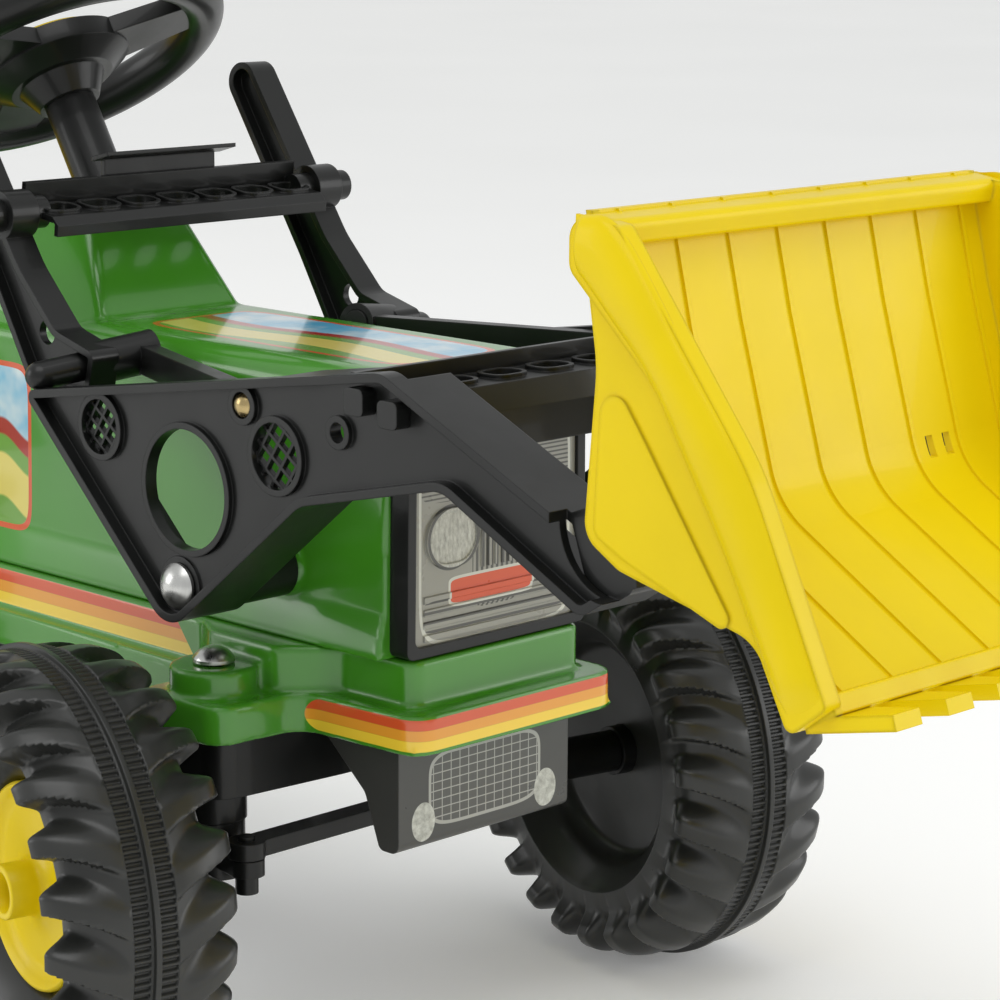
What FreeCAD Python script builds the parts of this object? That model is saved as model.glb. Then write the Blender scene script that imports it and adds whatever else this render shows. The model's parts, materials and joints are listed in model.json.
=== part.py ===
"""Pedal tractor with a front loader, as separate pieces at real size in millimetres.

Every piece is drawn with the front axle at X = 0, +X forward, +Y to the rider's left and the ground at
Z = 0. The finished pieces are then slid along X together, so that the origin is under the middle.
"""
import FreeCAD
import Part
import math
import os

V = FreeCAD.Vector

# Wheels and axles
FRONT_TYRE_RADIUS = 112.0
FRONT_TYRE_WIDTH = 96.0
FRONT_TRACK = 372.0
FRONT_LUGS = 24
REAR_TYRE_RADIUS = 145.0
REAR_TYRE_WIDTH = 98.0
REAR_TRACK = 384.0
REAR_LUGS = 26
WHEELBASE = 555.0
LUG_HEIGHT = 13.0
TYRE_WALL = 4.0
LUG_LEAN = 24.0
TREAD_BAND = 22.0
FRONT_OPENING = 59.0
REAR_OPENING = 80.0
WEB_OUT = 8.0
WEB_IN = 13.0
VENT_RADIUS = 2.5
CONE_WALL = 3.5
CONE_GAP = 0.2
CONE_INSET = 11.0
HUB_RADIUS = 13.0
HUB_WALL = 3.5
HUB_OUT = 23.5
HUB_IN = 21.0
HUB_SOCKET = 13.5
RETAINER_THICK = 3.0
AXLE_RADIUS = 5.0
CAP_HEIGHT = 6.0
CAP_FLANGE = 1.5
RUNNING_GAP = 0.05
SIDE_GAP = 0.5

# Steering
STEER_AT_REST = -11.7
KINGPIN_Y = 98.0
KINGPIN_TOP = 206.0
KINGPIN_BOSS = 21.0
KINGPIN_CAP = 10.0
BARREL_RADIUS = 14.0
BARREL_BOTTOM = 102.0
STUB_ROOT_RADIUS = 11.0
STEERING_ARM = 30.0
STEERING_ARM_THICK = 8.0
TIE_PEG_RADIUS = 4.0
TIE_EYE_RADIUS = 9.0
TIE_BAR_WIDTH = 12.0
TONGUE_HALF = 11.0
TIE_ROD_Z = 122.0
TIE_ROD_HEIGHT = 8.0
COLUMN_FOOT = V(-43.0, 0.0, 150.0)
COLUMN_LEAN = 32.0
COLUMN_LENGTH = 380.0
COLUMN_ROD_RADIUS = 6.0
CRANK_PIN_RADIUS = 2.8
CRANK_BALL_RADIUS = 4.7
COLUMN_SLEEVE_RADIUS = 13.5
SLEEVE_TOP_GAP = 28.0
SLEEVE_LENGTH = 100.0
COLUMN_HOLE_GAP = 0.4
SLOT_GAP = 0.3
STEERING_WHEEL_RADIUS = 96.0
STEERING_RIM_RADIUS = 12.0
STEERING_HUB_RADIUS = 40.0

# Body shell
WALL = 3.0
SKIRT_BOTTOM = 173.0
SKIRT_TOP = 192.0
PLATEAU_TOP = 214.0
BUMPER_X = 106.0
BUMPER_HALF = 67.0
PLATEAU_X = 92.0
PLATEAU_HALF = 57.0
BEAM_BOTTOM = 130.0
BONNET_FRONT = 79.0
BONNET_REAR = -262.0
BONNET_HALF = 60.0
BONNET_TOP = 346.0
HUMP_TOP = 396.0
GRILLE_DEPTH = 12.0
GRILLE_EDGE = 5.0
GRILLE_TOP = 330.0
GRILLE_BARS = (222.0, 228.0, 234.0, 240.0)
LAMP_Y = 29.0
LAMP_Z = 269.0
LAMP_WIDE = 34.0
LAMP_TALL = 28.0
SLAT_COUNT = 5
SLAT_PITCH = 4.5
WEIGHT_X = 74.0
WEIGHT_THICK = 9.0
WEIGHT_HALF = 57.0
WEIGHT_BOTTOM = 120.0
SPINE_HALF = 74.0

# Chassis and drive
CHASSIS_HALF = 46.0
CHASSIS_BOTTOM = 118.0
CRANK_X = -288.0
CRANK_Z = 160.0
CRANK_ARM = 75.0
CRANK_ARM_Y = 82.0
PEDAL_LENGTH = 84.0
PEDAL_WIDTH = 58.0
CHAIN_Y = 20.0
CHAIN_PITCH = 10.0
CRANK_TEETH = 21
AXLE_TEETH = 10
CHAIN_THICK = 5.0
BUSH_RADIUS = 9.0

# Loader
ARM_PLATE = 125.0
ARM_PLATE_THICK = 4.0
ARM_RIM_OUT = 131.0
ARM_RIM_IN = 96.0
ARM_RIM_WALL = 4.0
ARM_INNER = 66.0
PIVOT_X = 10.0
PIVOT_Z = 248.0
PIVOT_BOSS = 14.0
PIVOT_END = 126.0
PIVOT_CAP = 11.0
PIVOT_STAND = 12.0
LEVER_Y = 100.0
LEVER_WIDTH = 16.0
BAR_END_RADIUS = 8.0
CROSS_BAR_X = -147.0
CROSS_BAR_Z = 404.0
GRIP_HALF = 42.0
BUCKET_PIVOT_X = 279.0
BUCKET_PIVOT_Z = 317.0
BUCKET_HALF = 125.0
BUCKET_WALL = 3.5
PEG_RADIUS = 6.0
EYE_RADIUS = 14.0
TOOTH_COUNT = 8
TOOTH_LENGTH = 29.0
RIB_COUNT = 8
CLIP_SLOTS = (58.0, 70.0)
# Round places on the loader arm's plate: X, Z and radius
GRILLES = ((-46.0, 315.0, 13.0), (78.0, 318.0, 15.0))
BIG_HOLE = (16.0, 294.0, 28.0)
SPARE_BOSS = (119.0, 334.0, 4.5)
BOLT_PLACE = (56.0, 338.0)
# The arm's bent-in tube, from the plate to its inner end
TUBE_OUT = V(-94.0, -ARM_PLATE, 333.0)
TUBE_IN = V(-80.0, -ARM_INNER, 341.0)
TUBE_RADIUS = 7.0
BOLT_RADIUS = 4.0
PEGS = ((135.0, 350.0), (156.0, 347.0))
HOOK_RADIUS = 30.5
# Beam between the arms' knees
CROSSBEAM_X = 136.0
CROSSBEAM_Z = 352.0
CROSSBEAM_DEPTH = 30.0
CROSSBEAM_RISE = 8.0
CROSSBEAM_DROP = 28.0
BEAM_FLARE = 5.0
SEAT_GAP = 0.2

# Seat and rear body
PEDESTAL_TOP = 314.0
SEAT_HALF = 118.0
SEAT_WALL = 6.0
FENDER_GAP = 15.0
FENDER_ARC = (32.0, 158.0)
FENDER_HALF = 52.0
SEAT_BOLT_RADIUS = 3.0
SEAT_BOLT_HEAD = 6.5
SEAT_BOLT_NUT = 5.5
SEAT_BOLT_Y = 30.0
SEAT_LENGTH = 184.0
TOW_HOLE_RADIUS = 6.0
TOW_THICK = 8.0

# Places that follow from the sizes above
REAR_AXLE_X = -WHEELBASE
BEAM_REAR = COLUMN_FOOT.x - 38.0
SPINE_REAR = REAR_AXLE_X + 175.0
CHASSIS_REAR = REAR_AXLE_X - 55.0
CHASSIS_TOP = PLATEAU_TOP - WALL
SEAT_X = REAR_AXLE_X + 42.0


def on_xz(u, v, along=0.0):
    return V(u, along, v)


def on_xy(u, v, along=0.0):
    return V(u, v, along)


def on_yz(u, v, along=0.0):
    return V(along, u, v)


def rounded_wire(corners, place, along=0.0):
    """Closed wire through (u, v, radius) corners, each rounded by a tangent arc."""
    spots = []
    count = len(corners)
    for i, (u, v, radius) in enumerate(corners):
        here = V(u, v, 0)
        back = V(corners[i - 1][0], corners[i - 1][1], 0) - here
        ahead = V(corners[(i + 1) % count][0], corners[(i + 1) % count][1], 0) - here
        back.normalize()
        ahead.normalize()
        half = math.acos(max(-1.0, min(1.0, back.dot(ahead)))) / 2
        if radius <= 0 or math.pi / 2 - half < 1e-4:
            spots.append((here, None, here))
            continue
        reach = radius / math.tan(half)
        inward = back + ahead
        inward.normalize()
        middle = here + inward * (radius / math.sin(half) - radius)
        spots.append((here + back * reach, middle, here + ahead * reach))
    edges = []
    for i, (start, middle, end) in enumerate(spots):
        if middle is not None:
            arc = Part.Arc(*(place(p.x, p.y, along) for p in (start, middle, end)))
            edges.append(arc.toShape())
        after = spots[(i + 1) % count][0]
        if (after - end).Length > 1e-6:
            line = Part.LineSegment(place(end.x, end.y, along), place(after.x, after.y, along))
            edges.append(line.toShape())
    return Part.Wire(edges)


def slab(corners, y_low, y_high, inset=0.0):
    """An outline in X and Z, made solid between two Y planes. inset draws the outline in."""
    face = Part.Face(rounded_wire(corners, on_xz, y_low))
    if inset:
        face = Part.Face(face.makeOffset2D(-inset).Wires[0])
    return face.extrude(V(0, y_high - y_low, 0))


def plan(corners, z_low, z_high, inset=0.0):
    """An outline in X and Y, made solid between two heights. inset draws the outline in."""
    face = Part.Face(rounded_wire(corners, on_xy, z_low))
    if inset:
        face = Part.Face(face.makeOffset2D(-inset).Wires[0])
    return face.extrude(V(0, 0, z_high - z_low))


def section(corners, x_low, x_high):
    """An outline in Y and Z, made solid between two X planes."""
    return Part.Face(rounded_wire(corners, on_yz, x_low)).extrude(V(x_high - x_low, 0, 0))


def both_sides(half):
    """A closed plan outline from its right half, listed front to rear as (x, distance from middle, r)."""
    right = [(x, -y, r) for x, y, r in half]
    left = [(x, y, r) for x, y, r in reversed(half)]
    return right + left


def rod(start, end, radius):
    way = end - start
    return Part.makeCylinder(radius, way.Length, start, way)


def cross_rod(x, z, y_low, y_high, radius):
    return rod(V(x, y_low, z), V(x, y_high, z), radius)


def block(x_low, x_high, y_low, y_high, z_low, z_high):
    return Part.makeBox(x_high - x_low, y_high - y_low, z_high - z_low, V(x_low, y_low, z_low))


def turned(profile):
    """A solid of revolution about the Y axis from (radius, y) corners with radii."""
    wire = rounded_wire([(r, y, f) for r, y, f in profile], lambda u, v, a: V(u, v, 0))
    return Part.Face(wire).revolve(V(0, 0, 0), V(0, 1, 0), 360)


def mirrored(shape):
    return shape.mirror(V(0, 0, 0), V(0, 1, 0))


def moved(shape, offset):
    copy = shape.copy()
    copy.translate(offset)
    return copy


def spun(shape, centre, axis, degrees):
    copy = shape.copy()
    copy.rotate(centre, axis, degrees)
    return copy


def joined(first, *others):
    return first.fuse(list(others)).removeSplitter()


def dome(centre, axis, radius, height):
    """A shallow steel cap: a slice of a ball on a thin flange."""
    ball_radius = (radius ** 2 + height ** 2) / (2 * height)
    axis = V(axis)
    axis.normalize()
    ball = Part.makeSphere(ball_radius, centre - axis * (ball_radius - height))
    keep = Part.makeCylinder(radius, height * 1.5, centre, axis)
    flange = Part.makeCylinder(radius, CAP_FLANGE, centre - axis * CAP_FLANGE, axis)
    return joined(ball.common(keep), flange)


# Wheels: the axis is Y, the outer face is at -Y and the middle of the tread is at the origin

def tyre(radius, width, opening, lugs):
    """Hollow blow-moulded wheel body: rounded crown, wedge lugs and a web to the hub, with a vent hole."""
    half = width / 2
    crown = radius - LUG_HEIGHT
    band = TREAD_BAND / 2
    side = [(opening, 0.48 * half, 3), (opening + 12, 0.8 * half, 8), (crown - 20, 0.86 * half, 10),
            (crown - 6, 0.66 * half, 10), (crown, 0.4 * half, 12), (crown + 1, band, 0),
            (radius - 2.5, band, 0), (radius - 2.5, 1.5, 0), (radius, 1.5, 0)]
    outside = [(r, -y, f) for r, y, f in side]
    inside = list(reversed(side))
    carcass = turned([(HUB_RADIUS, WEB_OUT, 0), (opening - 4, WEB_OUT, 4)] + outside + inside
                     + [(opening - 4, WEB_IN, 4), (HUB_RADIUS, WEB_IN, 0)])
    room = [(opening + 4, 0.4 * half, 0), (opening + 14, 0.8 * half - TYRE_WALL, 0),
            (crown - 22, 0.86 * half - TYRE_WALL, 0), (crown - 9, 0.6 * half, 0),
            (crown - TYRE_WALL, 0.36 * half, 0)]
    carcass = carcass.cut(turned([(r, -y, f) for r, y, f in room] + list(reversed(room))))
    carcass = carcass.cut(rod(V(opening - 8, WEB_IN + 7, 0), V(opening + 12, WEB_IN + 7, 0), VENT_RADIUS))
    lug_ring = turned([
        (crown - 24, -0.76 * half, 0), (crown - 20, -0.97 * half, 0), (radius - 20, -half, 3),
        (radius - 8, -0.84 * half, 5), (radius - 2.5, -0.5 * half, 0), (radius - 1.5, -band, 0),
        (crown - 8, -band, 0)])
    pitch = 360.0 / lugs
    thick = 2 * math.pi * radius / lugs * 0.38
    wedge = [(crown - 40, -0.5 * thick, 0), (radius + 8, -0.5 * thick, 0), (radius + 8, 0.2 * thick, 0),
             (crown - 10, 1.0 * thick, 0), (crown - 40, 1.3 * thick, 0)]
    bar = Part.Face(rounded_wire(wedge, lambda u, v, a: V(u, a, v), -half - 8)).extrude(V(0, half + 10, 0))
    bar = spun(bar, V(0, -half, 0), V(1, 0, 0), -LUG_LEAN)
    bars = [spun(bar, V(0, 0, 0), V(0, 1, 0), pitch * i) for i in range(lugs)]
    lug_side = lug_ring.common(bars)
    other = spun(mirrored(lug_side), V(0, 0, 0), V(0, 1, 0), pitch / 2)
    return carcass.fuse([lug_side, other])


def rim(opening, bore):
    """Cone that stands on the wheel body's web, with an open hub tube through it."""
    edge = opening - CONE_INSET
    foot = WEB_OUT - CONE_GAP
    inner = HUB_RADIUS - HUB_WALL
    return turned([
        (bore, -HUB_OUT + HUB_SOCKET, 0), (inner, -HUB_OUT + HUB_SOCKET, 0), (inner, -HUB_OUT, 0),
        (HUB_RADIUS, -HUB_OUT, 0.8), (HUB_RADIUS, -12, 2), (edge * 0.55, -9, 0), (edge * 0.86, 2, 3),
        (edge, foot - CONE_WALL, 0), (edge, foot, 0), (edge * 0.84, foot, 0), (edge * 0.52, -5, 0),
        (HUB_RADIUS, -7, 0), (HUB_RADIUS, HUB_IN, 0), (bore, HUB_IN, 0)])


def front_wheel_pieces():
    face = -HUB_OUT + HUB_SOCKET - SIDE_GAP
    washer = cross_rod(0, 0, face - RETAINER_THICK, face, HUB_RADIUS - HUB_WALL - SIDE_GAP)
    return {
        "tyre": tyre(FRONT_TYRE_RADIUS, FRONT_TYRE_WIDTH, FRONT_OPENING, FRONT_LUGS),
        "rim": rim(FRONT_OPENING, AXLE_RADIUS + RUNNING_GAP),
        "retainer": washer.cut(cross_rod(0, 0, face - RETAINER_THICK, face, AXLE_RADIUS)),
    }


# Steering

def column_axis():
    lean = math.radians(COLUMN_LEAN)
    return V(-math.sin(lean), 0, math.cos(lean))


def column_front():
    """Direction square to the column that faces forward, straight ahead."""
    lean = math.radians(COLUMN_LEAN)
    return V(math.cos(lean), 0, math.sin(lean))


def column_point(distance):
    return COLUMN_FOOT + column_axis() * distance


def knuckle():
    """Right-hand knuckle, straight ahead: kingpin, barrel, stub axle and forward steering arm."""
    foot = V(0, -KINGPIN_Y, BARREL_BOTTOM)
    pin = rod(foot + V(0, 0, 2), V(0, -KINGPIN_Y, KINGPIN_TOP), AXLE_RADIUS)
    barrel = rod(foot, V(0, -KINGPIN_Y, BEAM_BOTTOM - SIDE_GAP), BARREL_RADIUS)
    root_end = -FRONT_TRACK / 2 + HUB_IN + SIDE_GAP
    stub_root = cross_rod(0, FRONT_TYRE_RADIUS, root_end, -KINGPIN_Y, STUB_ROOT_RADIUS)
    stub_end = -FRONT_TRACK / 2 - HUB_OUT + HUB_SOCKET - SIDE_GAP - RETAINER_THICK - 1
    stub = cross_rod(0, FRONT_TYRE_RADIUS, stub_end, -KINGPIN_Y, AXLE_RADIUS)
    arm_top = TIE_ROD_Z - TIE_ROD_HEIGHT / 2 - SIDE_GAP
    arm_bottom = arm_top - STEERING_ARM_THICK
    half = STEERING_ARM_THICK
    tip = STEERING_ARM + TIE_EYE_RADIUS
    arm = plan([(-4, -KINGPIN_Y - half, 4), (tip, -KINGPIN_Y - half, half - 0.1),
                (tip, -KINGPIN_Y + half, half - 0.1), (-4, -KINGPIN_Y + half, 4)], arm_bottom, arm_top)
    end = V(STEERING_ARM, -KINGPIN_Y, arm_bottom)
    peg = rod(end + V(0, 0, STEERING_ARM_THICK - 2), V(end.x, end.y, TIE_ROD_Z + 6), TIE_PEG_RADIUS)
    boot = rod(end - V(0, 0, 9), end, TIE_PEG_RADIUS + 1.5)
    return joined(pin, barrel, stub_root, stub, arm, peg, boot)


def tie_rod():
    """Straight ahead: a bar in front of the axle, with a tongue back to the crank of the column."""
    low = TIE_ROD_Z - TIE_ROD_HEIGHT / 2
    high = TIE_ROD_Z + TIE_ROD_HEIGHT / 2
    rear, front = STEERING_ARM - TIE_BAR_WIDTH / 2, STEERING_ARM + TIE_BAR_WIDTH / 2
    crank = crank_pin_place()
    shape = block(rear, front, -KINGPIN_Y, KINGPIN_Y, low, high)
    post = block(rear, front, -TONGUE_HALF, TONGUE_HALF, low, crank.z + 6)
    tongue = block(crank.x - 9, front, -TONGUE_HALF, TONGUE_HALF, crank.z - 2, crank.z + 6)
    ends = [V(STEERING_ARM, side * KINGPIN_Y, low) for side in (-1, 1)]
    eyes = [Part.makeCylinder(TIE_EYE_RADIUS, TIE_ROD_HEIGHT, end) for end in ends]
    slot_half = CRANK_BALL_RADIUS + SLOT_GAP
    slot = block(crank.x - 12, crank.x + 7, -slot_half, slot_half, crank.z - 6, crank.z + 10)
    shape = joined(shape, post, tongue, *eyes).cut(slot)
    for end in ends:
        shape = shape.cut(Part.makeCylinder(TIE_PEG_RADIUS + RUNNING_GAP, TIE_ROD_HEIGHT, end))
    return shape


def crank_pin_place():
    return COLUMN_FOOT + column_front() * STEERING_ARM


def steering_rod():
    """Steel rod up the column, with a crank at its foot that swings the tie rod."""
    foot = COLUMN_FOOT
    shaft = rod(foot - column_axis() * 8, column_point(COLUMN_LENGTH - 4), COLUMN_ROD_RADIUS)
    pin = crank_pin_place()
    arm = rod(foot, pin, CRANK_PIN_RADIUS)
    ball = Part.makeSphere(CRANK_BALL_RADIUS, pin)
    return joined(shaft, arm, ball)


def column_sleeve():
    """Plastic tube over the upper part of the rod, which turns with it."""
    low = column_point(COLUMN_LENGTH - SLEEVE_TOP_GAP - SLEEVE_LENGTH)
    high = column_point(COLUMN_LENGTH - SLEEVE_TOP_GAP)
    tube = rod(low, high, COLUMN_SLEEVE_RADIUS)
    return tube.cut(rod(low, high, COLUMN_ROD_RADIUS))


def steering_wheel():
    """Thick ring, three spokes and a broad hub, drawn flat and then set square to the column."""
    reach = STEERING_WHEEL_RADIUS - STEERING_RIM_RADIUS
    ring = Part.makeTorus(reach, STEERING_RIM_RADIUS)
    under = V(0, 0, -SLEEVE_TOP_GAP)
    hub = Part.makeCylinder(STEERING_HUB_RADIUS, 10, V(0, 0, -8))
    hub = hub.fuse(Part.makeCone(STEERING_HUB_RADIUS - 12, STEERING_HUB_RADIUS, 8, V(0, 0, -16)))
    hub = hub.fuse(Part.makeCone(COLUMN_SLEEVE_RADIUS + 3, COLUMN_SLEEVE_RADIUS + 10, 12, under))
    hub = hub.cut(Part.makeCylinder(COLUMN_ROD_RADIUS, SLEEVE_TOP_GAP - 2, under))
    spokes = []
    for angle in (60, 180, 300):
        spoke = plan([(26, -20, 0), (26, 20, 0), (reach, 13, 0), (reach, -13, 0)], -7, 2)
        spokes.append(spun(spoke, V(0, 0, 0), V(0, 0, 1), angle))
    wheel = ring.fuse([hub] + spokes)
    return along_column(wheel, COLUMN_LENGTH)


def steering_cap():
    radius = STEERING_HUB_RADIUS - 8
    base = Part.makeCylinder(radius, 4, V(0, 0, 2))
    cap = base.fuse(dome(V(0, 0, 6), V(0, 0, 1), radius, CAP_HEIGHT))
    return along_column(cap, COLUMN_LENGTH)


def column_screw():
    """Round-headed screw that pins the sleeve to the rod, on the side that faces forward."""
    out = column_front()
    spot = column_point(COLUMN_LENGTH - SLEEVE_TOP_GAP - SLEEVE_LENGTH * 0.64)
    head = dome(spot + out * (COLUMN_SLEEVE_RADIUS + CAP_FLANGE), out, 5, 2.5)
    return head.cut(rod(column_point(0), column_point(COLUMN_LENGTH), COLUMN_SLEEVE_RADIUS))


def along_column(shape, distance):
    """Sets a piece drawn about Z on the column, distance up from its foot."""
    copy = shape.copy()
    copy.rotate(V(0, 0, 0), V(0, 1, 0), -COLUMN_LEAN)
    copy.translate(column_point(distance))
    return copy


# Body shell

def base_outline():
    return both_sides([
        (BUMPER_X, BUMPER_HALF, 12), (32, BUMPER_HALF + 5, 14), (30, KINGPIN_Y + 24, 12),
        (-26, KINGPIN_Y + 25, 10), (-29, SPINE_HALF + 5, 8), (SPINE_REAR, SPINE_HALF, 8)])


def plateau_outline():
    return both_sides([
        (PLATEAU_X, PLATEAU_HALF, 8), (47, PLATEAU_HALF + 1, 10), (24, KINGPIN_Y - 16, 8),
        (-22, KINGPIN_Y - 16, 8), (-40, SPINE_HALF - 2, 12), (SPINE_REAR, SPINE_HALF - 4, 8)])


def base_body():
    skin = plan(base_outline(), SKIRT_BOTTOM, SKIRT_TOP)
    skin = skin.fuse(plan(plateau_outline(), SKIRT_TOP, PLATEAU_TOP))
    hollow = plan(base_outline(), SKIRT_BOTTOM, SKIRT_TOP - WALL, inset=WALL)
    hollow = hollow.fuse(plan(plateau_outline(), SKIRT_BOTTOM, PLATEAU_TOP - WALL, inset=WALL))
    skin = skin.cut(hollow)
    for side in (-1, 1):
        height = KINGPIN_TOP - 1 - SKIRT_BOTTOM
        boss = Part.makeCylinder(KINGPIN_BOSS, height, V(0, side * KINGPIN_Y, SKIRT_BOTTOM))
        skin = skin.fuse(boss)
    for side in (-1, 1):
        bore = Part.makeCylinder(AXLE_RADIUS + RUNNING_GAP, 60, V(0, side * KINGPIN_Y, SKIRT_BOTTOM - 5))
        skin = skin.cut(bore)
    floor = block(44, BUMPER_X - WALL, -BUMPER_HALF + 1, BUMPER_HALF - 1,
                  SKIRT_BOTTOM, SKIRT_BOTTOM + WALL)
    window = block(BONNET_REAR + 20, BONNET_FRONT - 14, -CHASSIS_HALF + 8, CHASSIS_HALF - 8,
                   PLATEAU_TOP - WALL - 1, PLATEAU_TOP + 1)
    return skin.fuse(floor).cut(window).cut(tray_room()).removeSplitter()


def tray_room():
    """Room for the chassis tray below its top, with a side gap, as it passes through the body's end walls."""
    half = CHASSIS_HALF + SIDE_GAP
    return block(CHASSIS_REAR - SIDE_GAP, BEAM_REAR, -half, half, CHASSIS_BOTTOM, CHASSIS_TOP)


def bonnet_section(inset=0.0):
    half = BONNET_HALF - inset
    top = BONNET_TOP - inset
    foot = PLATEAU_TOP
    return [(-half - 7, foot, 0), (-half - 2, foot + 22, 10), (-half, top, 16 - inset),
            (half, top, 16 - inset), (half + 2, foot + 22, 10), (half + 7, foot, 0)]


def hump(inset=0.0):
    """Dashboard hump: a ruled loft from its foot on the bonnet to its flat top."""
    side = BONNET_HALF - inset
    rear = BONNET_REAR + inset
    low = [(-146 - inset, 45 - inset, 6), (-186, side, 6), (rear, side, 6)]
    high = [(-177 - inset, 30 - inset, 6), (-208, 46 - inset, 6), (rear, 46 - inset, 6)]
    foot = BONNET_TOP - 8
    wires = [rounded_wire(both_sides(low), on_xy, foot),
             rounded_wire(both_sides(low), on_xy, BONNET_TOP),
             rounded_wire(both_sides(high), on_xy, HUMP_TOP - inset)]
    return Part.makeLoft(wires, True, True)


def bonnet():
    shell = section(bonnet_section(), BONNET_REAR, BONNET_FRONT).fuse(hump())
    hollow = section(bonnet_section(WALL), BONNET_REAR + WALL, BONNET_FRONT - WALL).fuse(hump(WALL))
    shell = shell.cut(hollow)
    for side in (-1, 1):
        boss = cross_rod(PIVOT_X, PIVOT_Z, side * (BONNET_HALF - 16), side * (ARM_INNER - 1), PIVOT_STAND)
        shell = shell.fuse(boss)
    shell = shell.cut(cross_rod(PIVOT_X, PIVOT_Z, -100, 100, AXLE_RADIUS))
    opening = rod(column_point(240), column_point(360), COLUMN_SLEEVE_RADIUS + COLUMN_HOLE_GAP)
    return shell.cut(opening).removeSplitter()


def grille_window():
    """Outline of the grey panel inside the black frame, in Y and Z."""
    low = PLATEAU_TOP + 1 + GRILLE_EDGE
    half = BONNET_HALF - 1 - GRILLE_EDGE
    top = GRILLE_TOP - GRILLE_EDGE
    return [(-half, low, 4), (half, low, 4), (half - 1, top, 5), (-half + 1, top, 5)]


def grille_frame():
    low = PLATEAU_TOP + 1
    outline = [(-BONNET_HALF + 1, low, 4), (BONNET_HALF - 1, low, 4),
               (BONNET_HALF - 2, GRILLE_TOP, 8), (-BONNET_HALF + 2, GRILLE_TOP, 8)]
    frame = section(outline, BONNET_FRONT, BONNET_FRONT + GRILLE_DEPTH)
    return frame.cut(section(grille_window(), BONNET_FRONT + WALL, BONNET_FRONT + GRILLE_DEPTH))


def grille_panel():
    """Grey panel with two round lamps, upright slats and a cross rib in low relief."""
    face = BONNET_FRONT + GRILLE_DEPTH - 2
    panel = section(grille_window(), BONNET_FRONT + WALL, face)
    relief = []
    for side in (-1, 1):
        lamp = lamp_outline(side, LAMP_WIDE / 2, LAMP_TALL / 2)
        glass = lamp_outline(side, LAMP_WIDE / 2 - 2, LAMP_TALL / 2 - 2)
        ring = section(lamp, face - 0.5, face + 1.5)
        relief.append(ring.cut(section(glass, face + 0.6, face + 1.5)))
    for i in range(SLAT_COUNT):
        y = SLAT_PITCH * (i - (SLAT_COUNT - 1) / 2)
        relief.append(block(face - 0.5, face + 0.8, y - 1, y + 1, 252, 318))
    for z in GRILLE_BARS:
        relief.append(block(face - 0.5, face + 0.8, -47, 47, z, z + 3))
    return panel.fuse(relief)


def lamp_outline(side, wide, tall):
    """Rounded outline of a head lamp on the grille, in Y and Z."""
    y = side * LAMP_Y
    corner = min(wide, tall) - 0.2
    return [(y - wide, LAMP_Z - tall, corner), (y + wide, LAMP_Z - tall, corner),
            (y + wide, LAMP_Z + tall, corner), (y - wide, LAMP_Z + tall, corner)]


def front_weight():
    """Dark nose plate with side cheeks that narrow towards the bottom."""
    top = SKIRT_BOTTOM
    cheek = [(WEIGHT_X - 46, top, 0), (WEIGHT_X + WEIGHT_THICK, top, 0),
             (WEIGHT_X + WEIGHT_THICK, WEIGHT_BOTTOM, 5), (WEIGHT_X - 4, WEIGHT_BOTTOM, 4),
             (WEIGHT_X - 14, WEIGHT_BOTTOM + 26, 8)]
    body = slab(cheek, -WEIGHT_HALF, WEIGHT_HALF)
    room = slab(cheek, -WEIGHT_HALF + 4, WEIGHT_HALF - 4)
    room.translate(V(-WEIGHT_THICK, 0, 0))
    return body.cut(room)


def front_axle_beam():
    """Black beam under the skirt that carries both kingpins."""
    low, high = BEAM_BOTTOM, SKIRT_BOTTOM
    outline = both_sides([(26, 40, 6), (20, KINGPIN_Y + 16, 12), (-20, KINGPIN_Y + 16, 12),
                          (BEAM_REAR, 50, 6)])
    beam = plan(outline, low + 14, high)
    beam = beam.fuse(rod(column_point(18), column_point(44), COLUMN_ROD_RADIUS + 6))
    for side in (-1, 1):
        boss = Part.makeCylinder(15, 15, V(0, side * KINGPIN_Y, low))
        beam = beam.fuse(boss)
    for side in (-1, 1):
        bore = Part.makeCylinder(AXLE_RADIUS + RUNNING_GAP, 60, V(0, side * KINGPIN_Y, low - 5))
        beam = beam.cut(bore)
    well = block(COLUMN_FOOT.x - 9, 60, -34, 34, low, high + 20)
    beam = beam.cut(well)
    return beam.cut(rod(COLUMN_FOOT, column_point(60), COLUMN_ROD_RADIUS + RUNNING_GAP)).removeSplitter()


# Chassis and drive

def chassis():
    """Long tray: two side walls and a floor, with bearing holes for the crank and the rear axle."""
    front = BEAM_REAR
    side = [(front, CHASSIS_TOP, 0), (front, CHASSIS_BOTTOM + 30, 10), (front - 38, CHASSIS_BOTTOM, 14),
            (CHASSIS_REAR, CHASSIS_BOTTOM, 14), (CHASSIS_REAR, CHASSIS_TOP, 0)]
    room = [(front - WALL, CHASSIS_TOP, 0), (front - WALL, CHASSIS_BOTTOM + 31, 8),
            (front - 39, CHASSIS_BOTTOM + WALL, 11), (CHASSIS_REAR + WALL, CHASSIS_BOTTOM + WALL, 11),
            (CHASSIS_REAR + WALL, CHASSIS_TOP, 0)]
    tray = slab(side, -CHASSIS_HALF, CHASSIS_HALF)
    tray = tray.cut(slab(room, -CHASSIS_HALF + WALL, CHASSIS_HALF - WALL))
    tray = tray.cut(cross_rod(CRANK_X, CRANK_Z, -80, 80, BUSH_RADIUS))
    tray = tray.cut(cross_rod(REAR_AXLE_X, REAR_TYRE_RADIUS, -80, 80, BUSH_RADIUS))
    return tray.cut(rod(COLUMN_FOOT, column_point(120), COLUMN_ROD_RADIUS + SIDE_GAP))


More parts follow.
